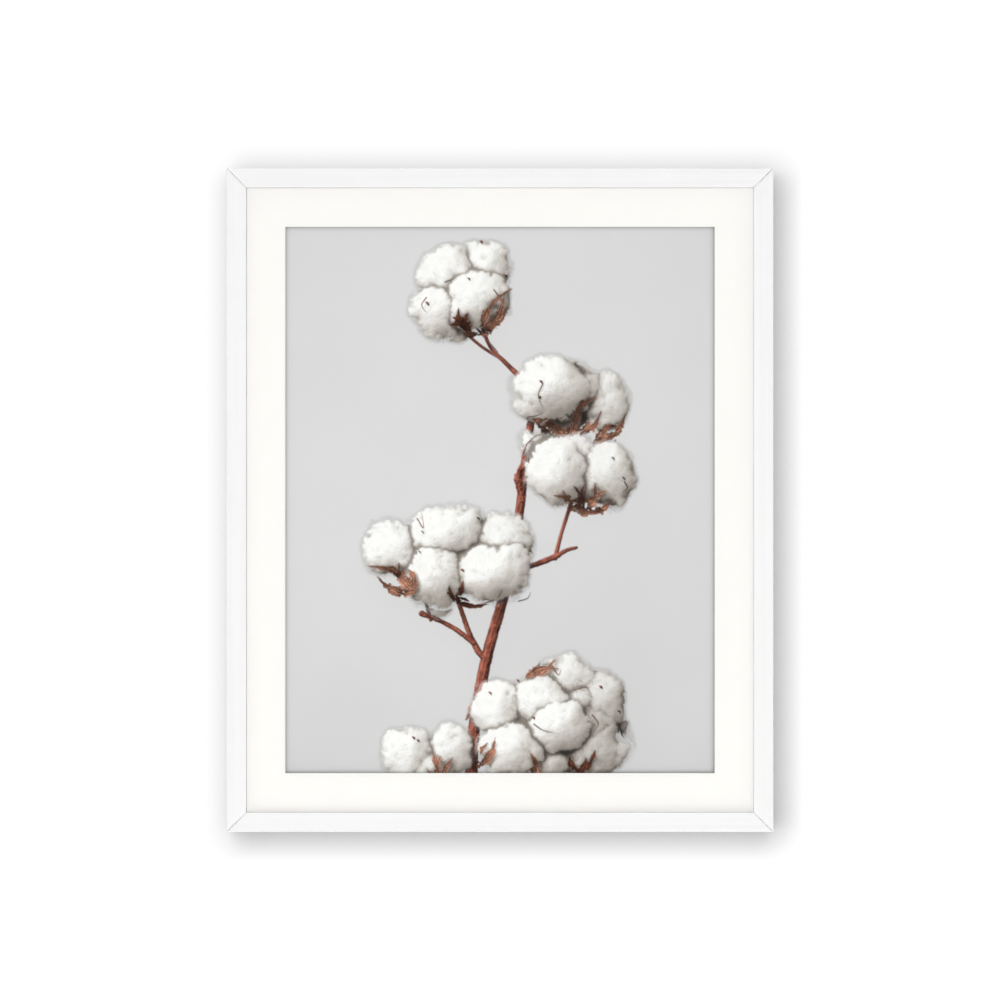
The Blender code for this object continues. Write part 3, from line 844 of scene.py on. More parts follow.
class Sprig:
    """The picture on the print: a dry sprig of cotton before a pale grey ground."""

    LIGHT = np.array([-0.50, 0.56, 0.66])
    LEANS = ((2.0, 0.35), (7.0, 0.80))
    CREASES = ((0.7, 0.20), (1.8, 0.95), (5.0, 1.00))
    WARM_SHADE = np.array([1.0, 0.86, 0.74])
    STEMS = (
        twig(((-19, -186), (-17, -150), (-9, -104), (1, -68), (8, -38), (13, -6), (16, 22),
              (20, 50), (24, 74)), (4.3, 4.0, 3.7, 3.4, 3.1, 2.9, 2.6, 2.1), 0, 0.03, ridges=0.12),
        twig(((14, 79), (2, 91), (-6, 99), (-13, 116)), (1.9, 1.5, 1.2, 1.3), 1, 0.04),
        twig(((1, 92), (-12, 100), (-26, 112)), (1.3, 1.0, 1.1), 0, 0.04),
        twig(((-2, 96), (-10, 106), (-17, 114)), (0.9, 0.8, 0.9), 0, 0.04),
        twig(((-11, -102), (-15, -97), (-21, -84), (-28, -64)), (2.4, 2.2, 1.7, 1.5), 1, 0.06),
        twig(((-17, -93), (-31, -83), (-43, -77), (-51, -74)), (1.9, 1.6, 1.7, 2.0), 2, 0.08),
        twig(((-45, -78), (-48, -68), (-50, -62)), (1.4, 1.2, 0.9), 2, 0.06),
        twig(((7, -46), (20, -43), (31, -39), (38, -36)), (2.0, 1.8, 2.0, 1.9), 1, 0.06),
        twig(((36, -37), (43, -33), (50, -31)), (1.6, 1.5, 1.1), 2, 0.1),
        twig(((36, -38), (40, -22), (47, 0)), (1.6, 1.2, 1.4), 1, 0.05),
        twig(((15, 0), (12, 14), (17, 28)), (2.0, 2.8, 1.2), 2, 0.12),
        twig(((-14, -128), (-19, -136), (-22, -143)), (1.3, 1.7, 0.6), 4, 0.3, BRACT),
    )
    BOLLS = (
        Boll(
            (Lock(-26, 136, -6, 26, 26), Lock(-35, 149, 6, 21, 17, 0.5),
             Lock(-9, 153, 4, 18, 16, -0.4),
             Lock(-40, 124, 6, 18, 20, 0.2), Lock(-16, 131, 9, 22, 21, 0.5),
             Lock(-30, 115, 5, 14, 11)),
            (Cup((-20, 110), ((-31, 119), (-27, 125), (-33, 114), (-21, 122)), 2.6, 0.3, PITH),
             Cup((-14, 108), ((5, 126), (8, 138), (3, 133), (-26, 110), (-2, 116)), 2.1, 0.2)),
            (((-48, 132), (-51, 127), (-48, 122)), ((-36, 142), (-31, 144), (-28, 146)),
             ((-4, 137), (1, 130), (3, 124))),
            ((-12, 168), (4, 146), (-20, 144), (-47, 128)),
        ),
        Boll(
            (Lock(44, 62, -6, 26, 18), Lock(69, 64, 0, 16, 20, 0.1, 0.10),
             Lock(50, 72, 3, 17, 18, 0.3, 0.04),
             Lock(34, 73, 8, 25, 21, -0.1), Lock(24, 64, 8, 15, 14, 0.2)),
            (Cup((45, 40), ((17, 53), (23, 51), (28, 49), (36, 50), (44, 49), (52, 52)), 2.6, 0.18),
             Cup((48, 42), ((66, 58), (63, 68), (58, 52)), 2.6, 0.3),
             Cup((62, 38), ((82, 56), (79, 48), (72, 44)), 2.4, 0.3)),
            (((28, 76), (25, 68), (28, 60)), ((18, 54), (24, 55), (28, 57))),
            ((27, 77), (26, 67)),
        ),
        Boll(
            (Lock(52, 18, -6, 28, 20), Lock(30, 34, 0, 16, 10, -0.3),
             Lock(69, 17, 3, 21, 22, 0.3, 0.10),
             Lock(37, 19, 8, 21, 22, 0.4), Lock(46, 30, 6, 18, 13, 0.2)),
            (Cup((55, -9), ((35, 3), (41, 6), (48, 9), (55, 10), (62, 11), (69, 6), (74, 1)), 2.5,
                 0.22),),
            (((15, 30), (19, 38), (26, 36)), ((81, 12), (83, 8), (80, 5)),
             ((17, 36), (24, 42), (36, 44))),
            ((74, 27), (81, 14)),
        ),
        Boll(
            (Lock(-30, -38, -6, 42, 24), Lock(-71, -32, 2, 18, 21, 0.2),
             Lock(2, -26, 3, 20, 18, -0.3, 0.08),
             Lock(-34, -21, 6, 25, 19, 0.2), Lock(-43, -50, 10, 19, 21, 0.3),
             Lock(-4, -47, 10, 26, 20, 0.35),
             Lock(-40, -68, 6, 9, 9)),
            (Cup((-56, -60),
                 ((-86, -43), (-80, -50), (-73, -44), (-66, -41), (-60, -45), (-76, -56)), 2.5),
             Cup((-30, -65), ((-24, -53), (-33, -56), (-8, -68), (-20, -66)), 1.7, 0.2, PITH)),
            (((-12, -68), (-2, -64), (2, -58)), ((-54, -12), (-50, -18), (-51, -8)),
             ((12, -66), (18, -64), (20, -60)), ((-30, -66), (-24, -60), (-24, -50))),
            ((-50, -21), (-14, -12), (-78, -44), (-52, -34), (-24, -46)),
        ),
        Boll(
            (Lock(-60, -166, 4, 18, 19, 0.2), Lock(-33, -163, 2, 16, 18, -0.1),
             Lock(-46, -177, 6, 16, 13)),
            (Cup((-40, -190), ((-44, -164), (-39, -167), (-36, -171), (-31, -168), (-48, -175)),
                 2.4, 0.1),),
            (),
            ((-56, -155), (-53, -157)),
        ),
        Boll(
            (Lock(40, -146, -12, 42, 34, 0, 0.25), Lock(65, -131, -4, 18, 22, 0.3, 0.32),
             Lock(44, -115, 0, 19, 14, -0.2, 0.10), Lock(60, -162, -2, 24, 20, 0.1, 0.40),
             Lock(74, -152, -8, 12, 20, 0.2, 0.42), Lock(-1, -135, 4, 18, 18, 0.2),
             Lock(26, -130, 6, 20, 16, -0.3),
             Lock(40, -147, 9, 20, 18, 0.3), Lock(6, -163, 10, 21, 19, -0.2),
             Lock(29, -173, 4, 16, 14, 0, 0.15)),
            (Cup((18, -115), ((36, -104), (32, -109), (26, -106), (38, -110)), 2.3, 0.2),
             Cup((22, -186), ((20, -165), (26, -170)), 2.6),
             Cup((-15, -174), ((-3, -155), (-8, -158), (-4, -163)), 2.2, 0.2),
             Cup((52, -178), ((62, -163), (45, -166), (56, -168)), 2.2, 0.2, PITH)),
            (((48, -124), (56, -122), (60, -128)), ((34, -108), (38, -114), (40, -110)),
             ((60, -140), (64, -146), (60, -152)), ((22, -146), (28, -150), (36, -152))),
            ((-6, -126), (66, -122), (78, -138), (12, -118), (22, -142)),
        ),
    )

    def __init__(self, width: float, height: float, step: float) -> None:
        """Make the relief.

        Args:
            width: of the picture, in millimetres.
            height: of the picture, in millimetres.
            step: millimetres from one cell to the next.
        """
        self.relief = Relief(width, height, step, 5)

    def shade(self) -> Field:
        """Light the relief: soft daylight from the upper left, with its shadows and creases.

        Returns:
            The picture in linear light.
        """
        relief = self.relief
        grain = relief.grain
        cover, high = relief.cover, relief.height
        solid = relief.solid()
        lean_x, lean_z = 0.40 * relief.lean_x, 0.40 * relief.lean_z
        for size, weight in self.LEANS:
            rise, run = np.gradient(relief.smoothed(size)[0], relief.step)
            lean_x, lean_z = lean_x + weight * run, lean_z - weight * rise
        direct = self.facing(lean_x, lean_z)
        hollow = np.zeros_like(high)
        for size, weight in self.CREASES:
            mean, mass = relief.smoothed(size)
            inner = smoothstep(0.42, 0.95, mass)
            hollow += weight * np.clip((mean - high) / (0.9 * size), 0.0, 1.0) * inner
        open_sky = np.clip(1.0 - hollow, 0.0, 1.0)
        shadow = self.cast(np.where(solid > 0, high, relief.FAR))
        key = np.clip((direct + 0.25) / 1.25, 0.0, 1.0) ** 1.35 * (1.0 - 0.62 * shadow)
        lint = 0.28 * open_sky + 0.89 * key * (0.30 + 0.70 * open_sky)
        soft = grain.blur(lint * solid, 1.4) / (grain.blur(solid, 1.4) + 1e-3)
        lint = np.clip(0.6 * lint + 0.4 * soft, 0.0, 0.97)
        lint = blend(0.88, lint, smoothstep(0.45, 1.0, cover))
        warm = np.clip(1.0 - 1.1 * lint, 0.0, 1.0)[..., None]
        lint_colour = relief.paint * lint[..., None] * blend(np.ones(3), self.WARM_SHADE, warm)
        direct = np.clip(self.facing(relief.lean_x, relief.lean_z), 0.0, 1.0)
        wood = 0.11 + 0.09 * open_sky + 1.32 * direct**1.4 * (1.0 - 0.6 * shadow)
        lit = blend(relief.paint * wood[..., None], lint_colour, relief.down[..., None])
        return blend(self.ground(), lit, cover[..., None])

    def facing(self, lean_x: Field, lean_z: Field) -> Field:
        """How squarely a surface of these slopes meets the key light."""
        lx, lz, ly = self.LIGHT
        return (ly - lean_x * lx - lean_z * lz) / np.sqrt(1.0 + lean_x**2 + lean_z**2)

    def cast(self, high: Field) -> Field:
        """How much of the key light each cell loses to what stands towards the light.

        Args:
            high: the relief's height, far back where nothing stands.

        Returns:
            The share lost.
        """
        lx, lz, ly = self.LIGHT
        plane = math.hypot(lx, lz)
        step = self.relief.step
        lost = np.zeros_like(high)
        for far in 0.8 * 1.22 ** np.arange(18):
            columns = round(far * lx / plane / step)
            rows = round(-far * lz / plane / step)
            other = np.roll(high, (-rows, -columns), (0, 1))
            over = other - high - far * ly / plane
            lost = np.maximum(lost, smoothstep(0.0, 0.25 * far + 0.4, over))
        return self.relief.grain.blur(lost, 0.5)

    def ground(self) -> Field:
        """The pale grey ground, a little darker towards the foot and the sides."""
        relief = self.relief
        across = relief.across[None, :] / 140.0
        up = relief.up[:, None] / 178.0
        light = 218.6 - 2.2 * np.clip(across, 0, 1) ** 2 - 1.0 * across**4
        light = light - 1.2 * np.clip(up, 0, 1) ** 2
        light = light - 8.0 * np.clip(-up, 0, 1) ** 2.5 + 0.5 * relief.grain.noise(20.0)
        light = light - 4.6 * np.exp(-((across - 0.50) ** 2) / 0.16 - (up + 0.50) ** 2 / 0.12)
        value = ((light / 255.0 + 0.055) / 1.055) ** 2.4
        return value[..., None] * np.array([1.0, 0.994, 1.004])

    def paint(self) -> Field:
        """Grow the sprig, and light it.

        Returns:
            The picture in linear light, rows from the top.
        """
        for stem in self.STEMS:
            stem.press_into(self.relief)
        for boll in self.BOLLS:
            boll.press_into(self.relief)
        return np.clip(self.shade(), 0.0, 1.0)


# ---------------------------------------------------------------------------------------------
# Meshes


def show(name: str, mesh: bpy.types.Mesh, nodes: Iterable[str],
         finishes: Iterable[bpy.types.Material]) -> bpy.types.Object:
    """Put a mesh in the scene as a piece of the object.

    Args:
        name: of the piece.
        mesh: its shape, in the frame's own place.
        nodes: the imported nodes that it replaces.
        finishes: its materials, by face index.

    Returns:
        The piece.
    """
    piece = bpy.data.objects.new(name, mesh)
    bpy.context.scene.collection.objects.link(piece)
    for finish in finishes:
        mesh.materials.append(finish)
    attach(piece, BODY)
    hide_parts(*nodes)
    return piece


def middle_of(node: str) -> Vector:
    """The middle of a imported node's box."""
    low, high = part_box(node)
    return (Vector(low) + Vector(high)) / 2


def as_mesh(name: str, body: bmesh.types.BMesh) -> bpy.types.Mesh:
    """A closed bmesh as a mesh of this name, its faces turned outward."""
    bmesh.ops.recalc_face_normals(body, faces=body.faces)
    mesh = bpy.data.meshes.new(name)
    body.to_mesh(mesh)
    body.free()
    return mesh


def apply_modifiers(piece: bpy.types.Object) -> None:
    """Turn a piece's modifiers into its mesh."""
    view = bpy.context.evaluated_depsgraph_get()
    piece.data = bpy.data.meshes.new_from_object(piece.evaluated_get(view))
    piece.modifiers.clear()


def settle(piece: bpy.types.Object, sharp: float) -> None:
    """Apply a piece's modifiers, and shade it smooth up to an angle in degrees."""
    apply_modifiers(piece)
    piece.data.shade_smooth()
    piece.data.set_sharp_from_angle(angle=math.radians(sharp))


def bevel(piece: bpy.types.Object, width: float, angle: float) -> None:
    """Round a piece's edges that turn by more than an angle in degrees."""
    modifier = piece.modifiers.new("arris", "BEVEL")
    modifier.width = width
    modifier.segments = 2
    modifier.limit_method = "ANGLE"
    modifier.angle_limit = math.radians(angle)


def lattice(name: str, points: Field, faces: Field, parts: Field | None = None) -> bpy.types.Mesh:
    """A mesh from an array of points and one of quads.

    Args:
        name: of the mesh.
        points: one row of x, y, z a point.
        faces: four point numbers a face.
        parts: the material index of each face, if there are several.

    Returns:
        The mesh.
    """
    mesh = bpy.data.meshes.new(name)
    mesh.vertices.add(len(points))
    mesh.vertices.foreach_set("co", np.asarray(points, dtype=np.float32).ravel())
    mesh.loops.add(faces.size)
    mesh.loops.foreach_set("vertex_index", faces.astype(np.int32).ravel())
    mesh.polygons.add(len(faces))
    mesh.polygons.foreach_set("loop_start", np.arange(0, faces.size, 4, dtype=np.int32))
    if parts is not None:
        mesh.polygons.foreach_set("material_index", parts.astype(np.int32))
    mesh.update(calc_edges=True)
    mesh.validate()
    return mesh


def grid_faces(rows: int, columns: int) -> Field:
    """The quads of a grid of points, row by row from the top left, facing -Y."""
    number = np.arange(rows * columns).reshape(rows, columns)
    corners = (number[:-1, :-1], number[1:, :-1], number[1:, 1:], number[:-1, 1:])
    return np.stack(corners, axis=-1).reshape(-1, 4)


def sheet_mesh(name: str, across: Field, up: Field, front: Field, back: Field) -> bpy.types.Mesh:
    """A closed thin sheet: a front grid, a back grid, and quads round the rim.

    Args:
        name: of the mesh.
        across: the columns' places, left to right.
        up: the rows' places, top to bottom.
        front: depth of each point of the front.
        back: depth of each point of the back.

    Returns:
        The mesh, its front points first and row by row.
    """
    rows, columns = len(up), len(across)
    x, z = np.meshgrid(across, up)
    layers = [np.stack([x, depth, z], axis=-1).reshape(-1, 3) for depth in (front, back)]
    quads = grid_faces(rows, columns)
    number = np.arange(rows * columns).reshape(rows, columns)
    rim = np.concatenate([number[0], number[1:, -1], number[-1, -2::-1], number[-2:0:-1, 0]])
    after = np.roll(rim, -1)
    far = rows * columns
    sides = np.stack([rim, after, after + far, rim + far], axis=-1)
    faces = np.concatenate([quads, quads[:, ::-1] + far, sides])
    return lattice(name, np.concatenate(layers), faces)


def turned_mesh(name: str, profile: list[Point], steps: int, place: Matrix) -> bpy.types.Mesh:
    """A shape turned about its own Z.

    Args:
        name: of the mesh.
        profile: radius and height of each ring, top to bottom, the ends on the axis.
        steps: points to a ring.
        place: where it stands.

    Returns:
        The mesh.
    """
    body = bmesh.new()
    rings = []
    for radius, height in profile:
        turns = [2 * math.pi * step / steps for step in range(steps)] if radius else [0.0]
        spots = [(radius * math.cos(turn), radius * math.sin(turn), height) for turn in turns]
        rings.append([body.verts.new(place @ Vector(spot)) for spot in spots])
    for upper, lower in zip(rings, rings[1:]):
        for step in range(steps):
            loop = [upper[step % len(upper)], lower[step % len(lower)],
                    lower[(step + 1) % len(lower)], upper[(step + 1) % len(upper)]]
            body.faces.new(list(dict.fromkeys(loop)))
    return as_mesh(name, body)


def pierce(piece: bpy.types.Object, depth: float, radius: float, reach: float) -> None:
    """Cut round holes through a piece where the hanger's two nails go.

    Args:
        piece: what is drilled.
        depth: of the piece's middle.
        radius: of the holes.
        reach: how far they go to each side of the middle.
    """
    profile = [(0.0, reach), (radius, reach), (radius, -reach), (0.0, -reach)]
    for side in SIDES:
        middle = middle_of(f"hanger_nail_{side}")
        middle.y = depth
        place = Matrix.Translation(middle) @ Matrix.Rotation(math.radians(90), 4, "X")
        bit = bpy.data.objects.new("bit", turned_mesh("bit", profile, 20, place))
        bpy.context.scene.collection.objects.link(bit)
        cut = piece.modifiers.new("hole", "BOOLEAN")
        cut.object = bit
        cut.solver = "EXACT"
        apply_modifiers(piece)
        bpy.data.objects.remove(bit, do_unlink=True)


# ---------------------------------------------------------------------------------------------
# The frame


@dataclass
class Moulding:
    """Four mitred rails of one L-shaped moulding, with eased edges and a rabbet behind the lip."""

    lip: float = 2.6 * MM
    wall: float = 8.1 * MM
    face_edge: float = 0.4 * MM
    sight_edge: float = 0.15 * MM
    back_edge: float = 0.4 * MM
    joint: float = 0.30 * MM
    arris: float = 0.16 * MM
    edge_steps: int = 7
    face_steps: int = 18
    stations: int = 90
    relief: float = 0.05 * MM
    joint_waves: float = 420.0
    face_waves: tuple[float, float] = (900.0, 11.0)

    def __post_init__(self) -> None:
        """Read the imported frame's outside."""
        left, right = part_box("left_rail"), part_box("right_rail")
        top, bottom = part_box("top_rail"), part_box("bottom_rail")
        self.face = left[0][1]
        self.depth = left[1][1] - left[0][1]
        self.face_width = left[1][0] - left[0][0]
        self.half_width = (right[1][0] - left[0][0]) / 2
        self.half_height = (top[1][2] - bottom[0][2]) / 2
        self.middle = Vector((
            (right[1][0] + left[0][0]) / 2, self.face, (top[1][2] + bottom[0][2]) / 2
        ))

    def profile(self) -> tuple[list[Point], list[int]]:
        """The moulding's section, and which of its sides are bare wood.

        Returns:
            Points inward from the outer edge and back from the face, and for the side that
            starts at each point 0 for paint and 1 for bare wood.
        """
        corners = (
            (0.0, 0.0, self.face_edge, 0),
            (self.face_width, 0.0, self.sight_edge, 0),
            (self.face_width, self.lip, 0.0, 0),
            (self.wall, self.lip, 0.0, 1),
            (self.wall, self.depth, 0.0, 1),
            (0.0, self.depth, self.back_edge, 0),
        )
        points, sides = [], []
        for index, (x, y, radius, bare) in enumerate(corners):
            corner = Vector((x, y))
            before = (Vector(corners[index - 1][:2]) - corner).normalized()
            after = (Vector(corners[(index + 1) % len(corners)][:2]) - corner).normalized()
            centre = corner + radius * (before + after)
            steps = self.edge_steps if radius else 0
            for step in range(steps + 1):
                turn = math.radians(90) * step / max(steps, 1)
                offset = radius * (after * math.cos(turn) + before * math.sin(turn))
                points.append(tuple(centre - offset))
                sides.append(bare)
        return points, sides

    def divided(self, points: list[Point], sides: list[int]) -> tuple[list[Point], list[int]]:
        """The section with its long sides cut into even steps."""
        limit = self.face_width / self.face_steps
        fine, kinds = [], []
        for index, point in enumerate(points):
            start, end = Vector(point), Vector(points[(index + 1) % len(points)])
            steps = max(1, round((end - start).length / limit))
            for step in range(steps):
                fine.append(tuple(start.lerp(end, step / steps)))
                kinds.append(sides[index])
        return fine, kinds

    def rail_mesh(self, name: str, quarter: int, half: float, outer: float) -> bpy.types.Mesh:
        """One rail: the section swept along its length, every line of it as long as its mitre lets.

        Args:
            name: of the rail.
            quarter: its turn about the depth, in quarter turns.
            half: half the length of its outer edge.
            outer: how far that edge is from the frame's middle.

        Returns:
            The mesh.
        """
        points, kinds = self.divided(*self.profile())
        turn = Matrix.Rotation(math.radians(90) * quarter, 4, "Y")
        place = Matrix.Translation(self.middle) @ turn @ Matrix.Translation((-outer, 0, 0))
        body = bmesh.new()
        rings = []
        for station in range(self.stations + 1):
            share = 2 * station / self.stations - 1
            ring = []
            for inward, back in points:
                spot = Vector((inward * self.joint_waves, quarter * 3.7, share))
                open_by = self.joint * (0.5 + abs(noise.noise(spot)))
                along = share * (half - inward - open_by / math.sqrt(2))
                if 0 < inward < self.face_width and back < self.lip / 2:
                    waves, slow = self.face_waves
                    spot = Vector((inward * waves, back * waves, along * slow + quarter * 7.3))
                    back += self.relief * (0.5 + 0.5 * noise.noise(spot))
                ring.append(body.verts.new(place @ Vector((inward, back, along))))
            rings.append(ring)
        for lower, upper in zip(rings, rings[1:]):
            for index, kind in enumerate(kinds):
                after = (index + 1) % len(points)
                face = body.faces.new((lower[index], lower[after], upper[after], upper[index]))
                face.material_index = kind
        # the mitre ends: glue-stained end grain, painted near black as the shade deep inside the
        # joint
        for ring in (rings[0], rings[-1]):
            body.faces.new(ring).material_index = 2
        return as_mesh(name, body)

    def build(self) -> None:
        """Make and dress the four rails."""
        paints = {run: PaintedWood(run).material() for run in Run}
        woods = {run: BareWood(run).material() for run in Run}
        # nearly black: glue on the mitre ends, and painted shade for the deep joint
        glue_and_shade = Board("mitre_glue_and_shade", (0.10, 0.096, 0.092), 0.05, 0.00002).material()
        rails = (
            ("left", 0, self.half_height, self.half_width, Run.UP),
            ("top", 1, self.half_width, self.half_height, Run.ACROSS),
            ("right", 2, self.half_height, self.half_width, Run.UP),
            ("bottom", 3, self.half_width, self.half_height, Run.ACROSS),
        )
        for side, quarter, half, outer, run in rails:
            name = f"painted_{side}_rail"
            mesh = self.rail_mesh(name, quarter, half, outer)
            looks = [paints[run], woods[run], glue_and_shade]
            rail = show(name, mesh, [f"{side}_rail"], looks)
            bevel(rail, self.arris, 50.0)
            settle(rail, 40.0)
            log.info("%s: swept and mitred", rail.name)


@dataclass
class Glazing:
    """The picture glass, and the window mat behind it."""

    cut_edge: float = 0.06 * MM
    thickness: float = 1.4 * MM

    def mat_mesh(self) -> bpy.types.Mesh:
        """The mat: its front, its window cut back at 45 degrees, its back and its edges."""
        low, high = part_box("window_mat")
        middle = middle_of("window_mat")
        wide, tall = (side * MM / 2 for side in WINDOW)
        rings = (
            ((high[0] - low[0]) / 2, (high[2] - low[2]) / 2, low[1]),
            (wide, tall, low[1]),
            (wide + self.thickness, tall + self.thickness, high[1]),
            ((high[0] - low[0]) / 2, (high[2] - low[2]) / 2, high[1]),
        )
        body = bmesh.new()
        corners = [
            [
                body.verts.new((middle.x + sx * half_width, depth, middle.z + sz * half_height))
                for sx, sz in ((-1, 1), (1, 1), (1, -1), (-1, -1))
            ]
            for half_width, half_height, depth in rings
        ]
        for index in range(4):
            first, second = corners[index], corners[(index + 1) % 4]
            for side in range(4):
                after = (side + 1) % 4
                face = body.faces.new((first[side], first[after], second[after], second[side]))
                face.material_index = 0 if index == 0 else 1
        return as_mesh("window_board", body)

    def build(self) -> None:
        """Make the mat and dress the glass."""
        facing = Board("mat_facing", tuple(tone(247.4, 245.8, 243.4)), 0.010, 0.00002)
        core = Board("mat_core", tuple(tone(250, 250, 248)), 0.015, 0.00003)
        mat = show("window_board", self.mat_mesh(), ["window_mat"],
                   [facing.material(), core.material()])
        bevel(mat, self.cut_edge, 30.0)
        settle(mat, 30.0)
        dress(["picture_glass"], PictureGlass())
        log.info("%s and picture glass: in place", mat.name)


def dress(nodes: Iterable[str], finish: object) -> None:
    """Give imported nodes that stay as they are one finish."""
    material = finish.material()
    for node in nodes:
        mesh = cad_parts[node].data
        mesh.materials.clear()
        mesh.materials.append(material)


@dataclass
class ArtPrint:
    """The printed sheet: a fine grid over the picture and a coarse one over its white margins."""

    cell: float = 0.5
    bleed: float = 3.0
    finer: int = 2
    margin_steps: int = 3
    # painted shadow of the mat's edge on the print: loss at the left and top, and at the right and
    # foot, then its width
    rim_shade: tuple[float, float] = (0.50, 0.58)
    rim_width: float = 1.15
    layer: str = "picture"
    map_share: float = 0.97
    margin: Field = field(default_factory=lambda: tone(240, 240, 238))

    def lines(self, size: float, low: float, high: float, middle: float) -> Field:
        """Places of the grid's lines one way: fine ones over the picture, then the margins."""
        count = round((size + 2 * self.bleed) / self.cell)
        fine = middle + ((np.arange(count) + 0.5) * self.cell - count * self.cell / 2) * MM
        before = np.linspace(low, fine[0], self.margin_steps + 1)[:-1]
        after = np.linspace(fine[-1], high, self.margin_steps + 1)[1:]
        return np.concatenate([before, fine, after])

    def picture(self, columns: int, rows: int) -> Field:
        """The picture's colours on the grid, margins included, with a painted shadow along the
        window's edges.

        Args:
            columns: of the whole grid.
            rows: of the whole grid.

        Returns:
            Linear colours, rows from the top.
        """
        inner_columns = columns - 2 * self.margin_steps
        inner_rows = rows - 2 * self.margin_steps
        finer = self.finer
        sprig = Sprig(inner_columns * self.cell, inner_rows * self.cell, self.cell / finer)
        # the mat edge's painted shadow is multiplied into the picture's colours
        painted = sprig.paint() * self.rim(sprig.relief.across, sprig.relief.up)[..., None]
        blocks = painted.reshape(inner_rows, finer, inner_columns, finer, 3).mean(axis=(1, 3))
        whole = np.tile(self.margin, (rows, columns, 1))
        edge = self.margin_steps
        whole[edge:rows - edge, edge:columns - edge] = blocks
        return whole

    def rim(self, across: Field, up: Field) -> Field:
        """A painted shadow of the mat's overhanging edge: how much of the colour is left beside it,
        cell by cell.

        Args:
            across: millimetres from the window's middle, one a column.
            up: the same, one a row.

        Returns:
            Shares of colour kept under the painted shadow: least along the edges, more lost at the
            right and the foot.
        """
        near, far = self.rim_shade
        x, z = across[None, :], up[:, None]
        gaps = (
            (WINDOW[0] / 2 + x, near), (WINDOW[1] / 2 - z, near),
            (WINDOW[0] / 2 - x, far), (WINDOW[1] / 2 + z, far),
        )
        light = np.ones((len(up), len(across)))
        for gap, loss in gaps:
            light = light * (1.0 - loss * np.exp(-np.maximum(gap, 0.0) / self.rim_width))
        return light

    def build(self) -> None:
        """Make the sheet, lay the picture on its points, and dress it."""
        low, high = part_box("art_print")
        middle = middle_of("art_print")
        across = self.lines(WINDOW[0], low[0], high[0], middle.x)
        up = self.lines(WINDOW[1], low[2], high[2], middle.z)[::-1]
        shape = (len(up), len(across))
        front, back = np.full(shape, low[1]), np.full(shape, high[1])
        mesh = sheet_mesh("printed_sheet", across, up, front, back)
        colours = self.picture(len(across), len(up))
        count = shape[0] * shape[1]
        whole = np.ones((2 * count, 4), dtype=np.float32)
        whole[:count, :3] = colours.reshape(-1, 3)
        whole[count:, :3] = self.margin
        layer = mesh.color_attributes.new(self.layer, "FLOAT_COLOR", "POINT")
        layer.data.foreach_set("color", whole.ravel())
        self.map_out(mesh, low, high, count)
        paper = PrintedPaper(self.layer).material()
        show("printed_sheet", mesh, ["art_print"], [paper])
        log.info("printed_sheet: %d by %d points of picture", *shape)

    def map_out(self, mesh: bpy.types.Mesh, low: Vector, high: Vector, count: int) -> None:
        """Lay the front flat over most of the map, and the back and rim in a strip beside it.

        Args:
            mesh: the sheet.
            low: its box's lower corner.
            high: its box's upper corner.
            count: points of its front, which come first.
        """
        spots = np.zeros(3 * len(mesh.vertices), dtype=np.float32)
        mesh.vertices.foreach_get("co", spots)
        spots = spots.reshape(-1, 3)
        u = (spots[:, 0] - low[0]) / (high[0] - low[0])
        v = (spots[:, 2] - low[2]) / (high[2] - low[2])
        corners = np.zeros(len(mesh.loops), dtype=np.int32)
        mesh.loops.foreach_get("vertex_index", corners)
        flat = np.stack([u[corners] * self.map_share, v[corners]], axis=-1)
        behind = int(np.argmax(corners >= count))
        strip = 1.0 - self.map_share
        flat[behind:, 0] = self.map_share + strip * (0.2 + 0.7 * u[corners[behind:]])
        layer = mesh.uv_layers.new(name="OFBake")
        layer.data.foreach_set("uv", flat.astype(np.float32).ravel())


@dataclass
class Backing:
    """What lies behind the print inside the frame: boards, tapes, points and corner nails."""

    def build(self) -> None:
        """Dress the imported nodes, whose shapes stay as they are."""
        dress(["mount_board"], Board("mount_board", (0.71, 0.69, 0.62), 0.05, 0.00004))
        dress(["backing_board"], Hardboard())
        kinds = {
            "hinge_tape": Board("linen_tape", (0.74, 0.72, 0.64), 0.12, 0.00010),
            "glazing_point": Metal(Plating.BLUED),
            "corner_nail": Metal(Plating.BRIGHT),
        }
        for kind, finish in kinds.items():
            dress([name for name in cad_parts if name.startswith(kind)], finish)
        log.info("backing: boards, tapes, points and corner nails dressed")


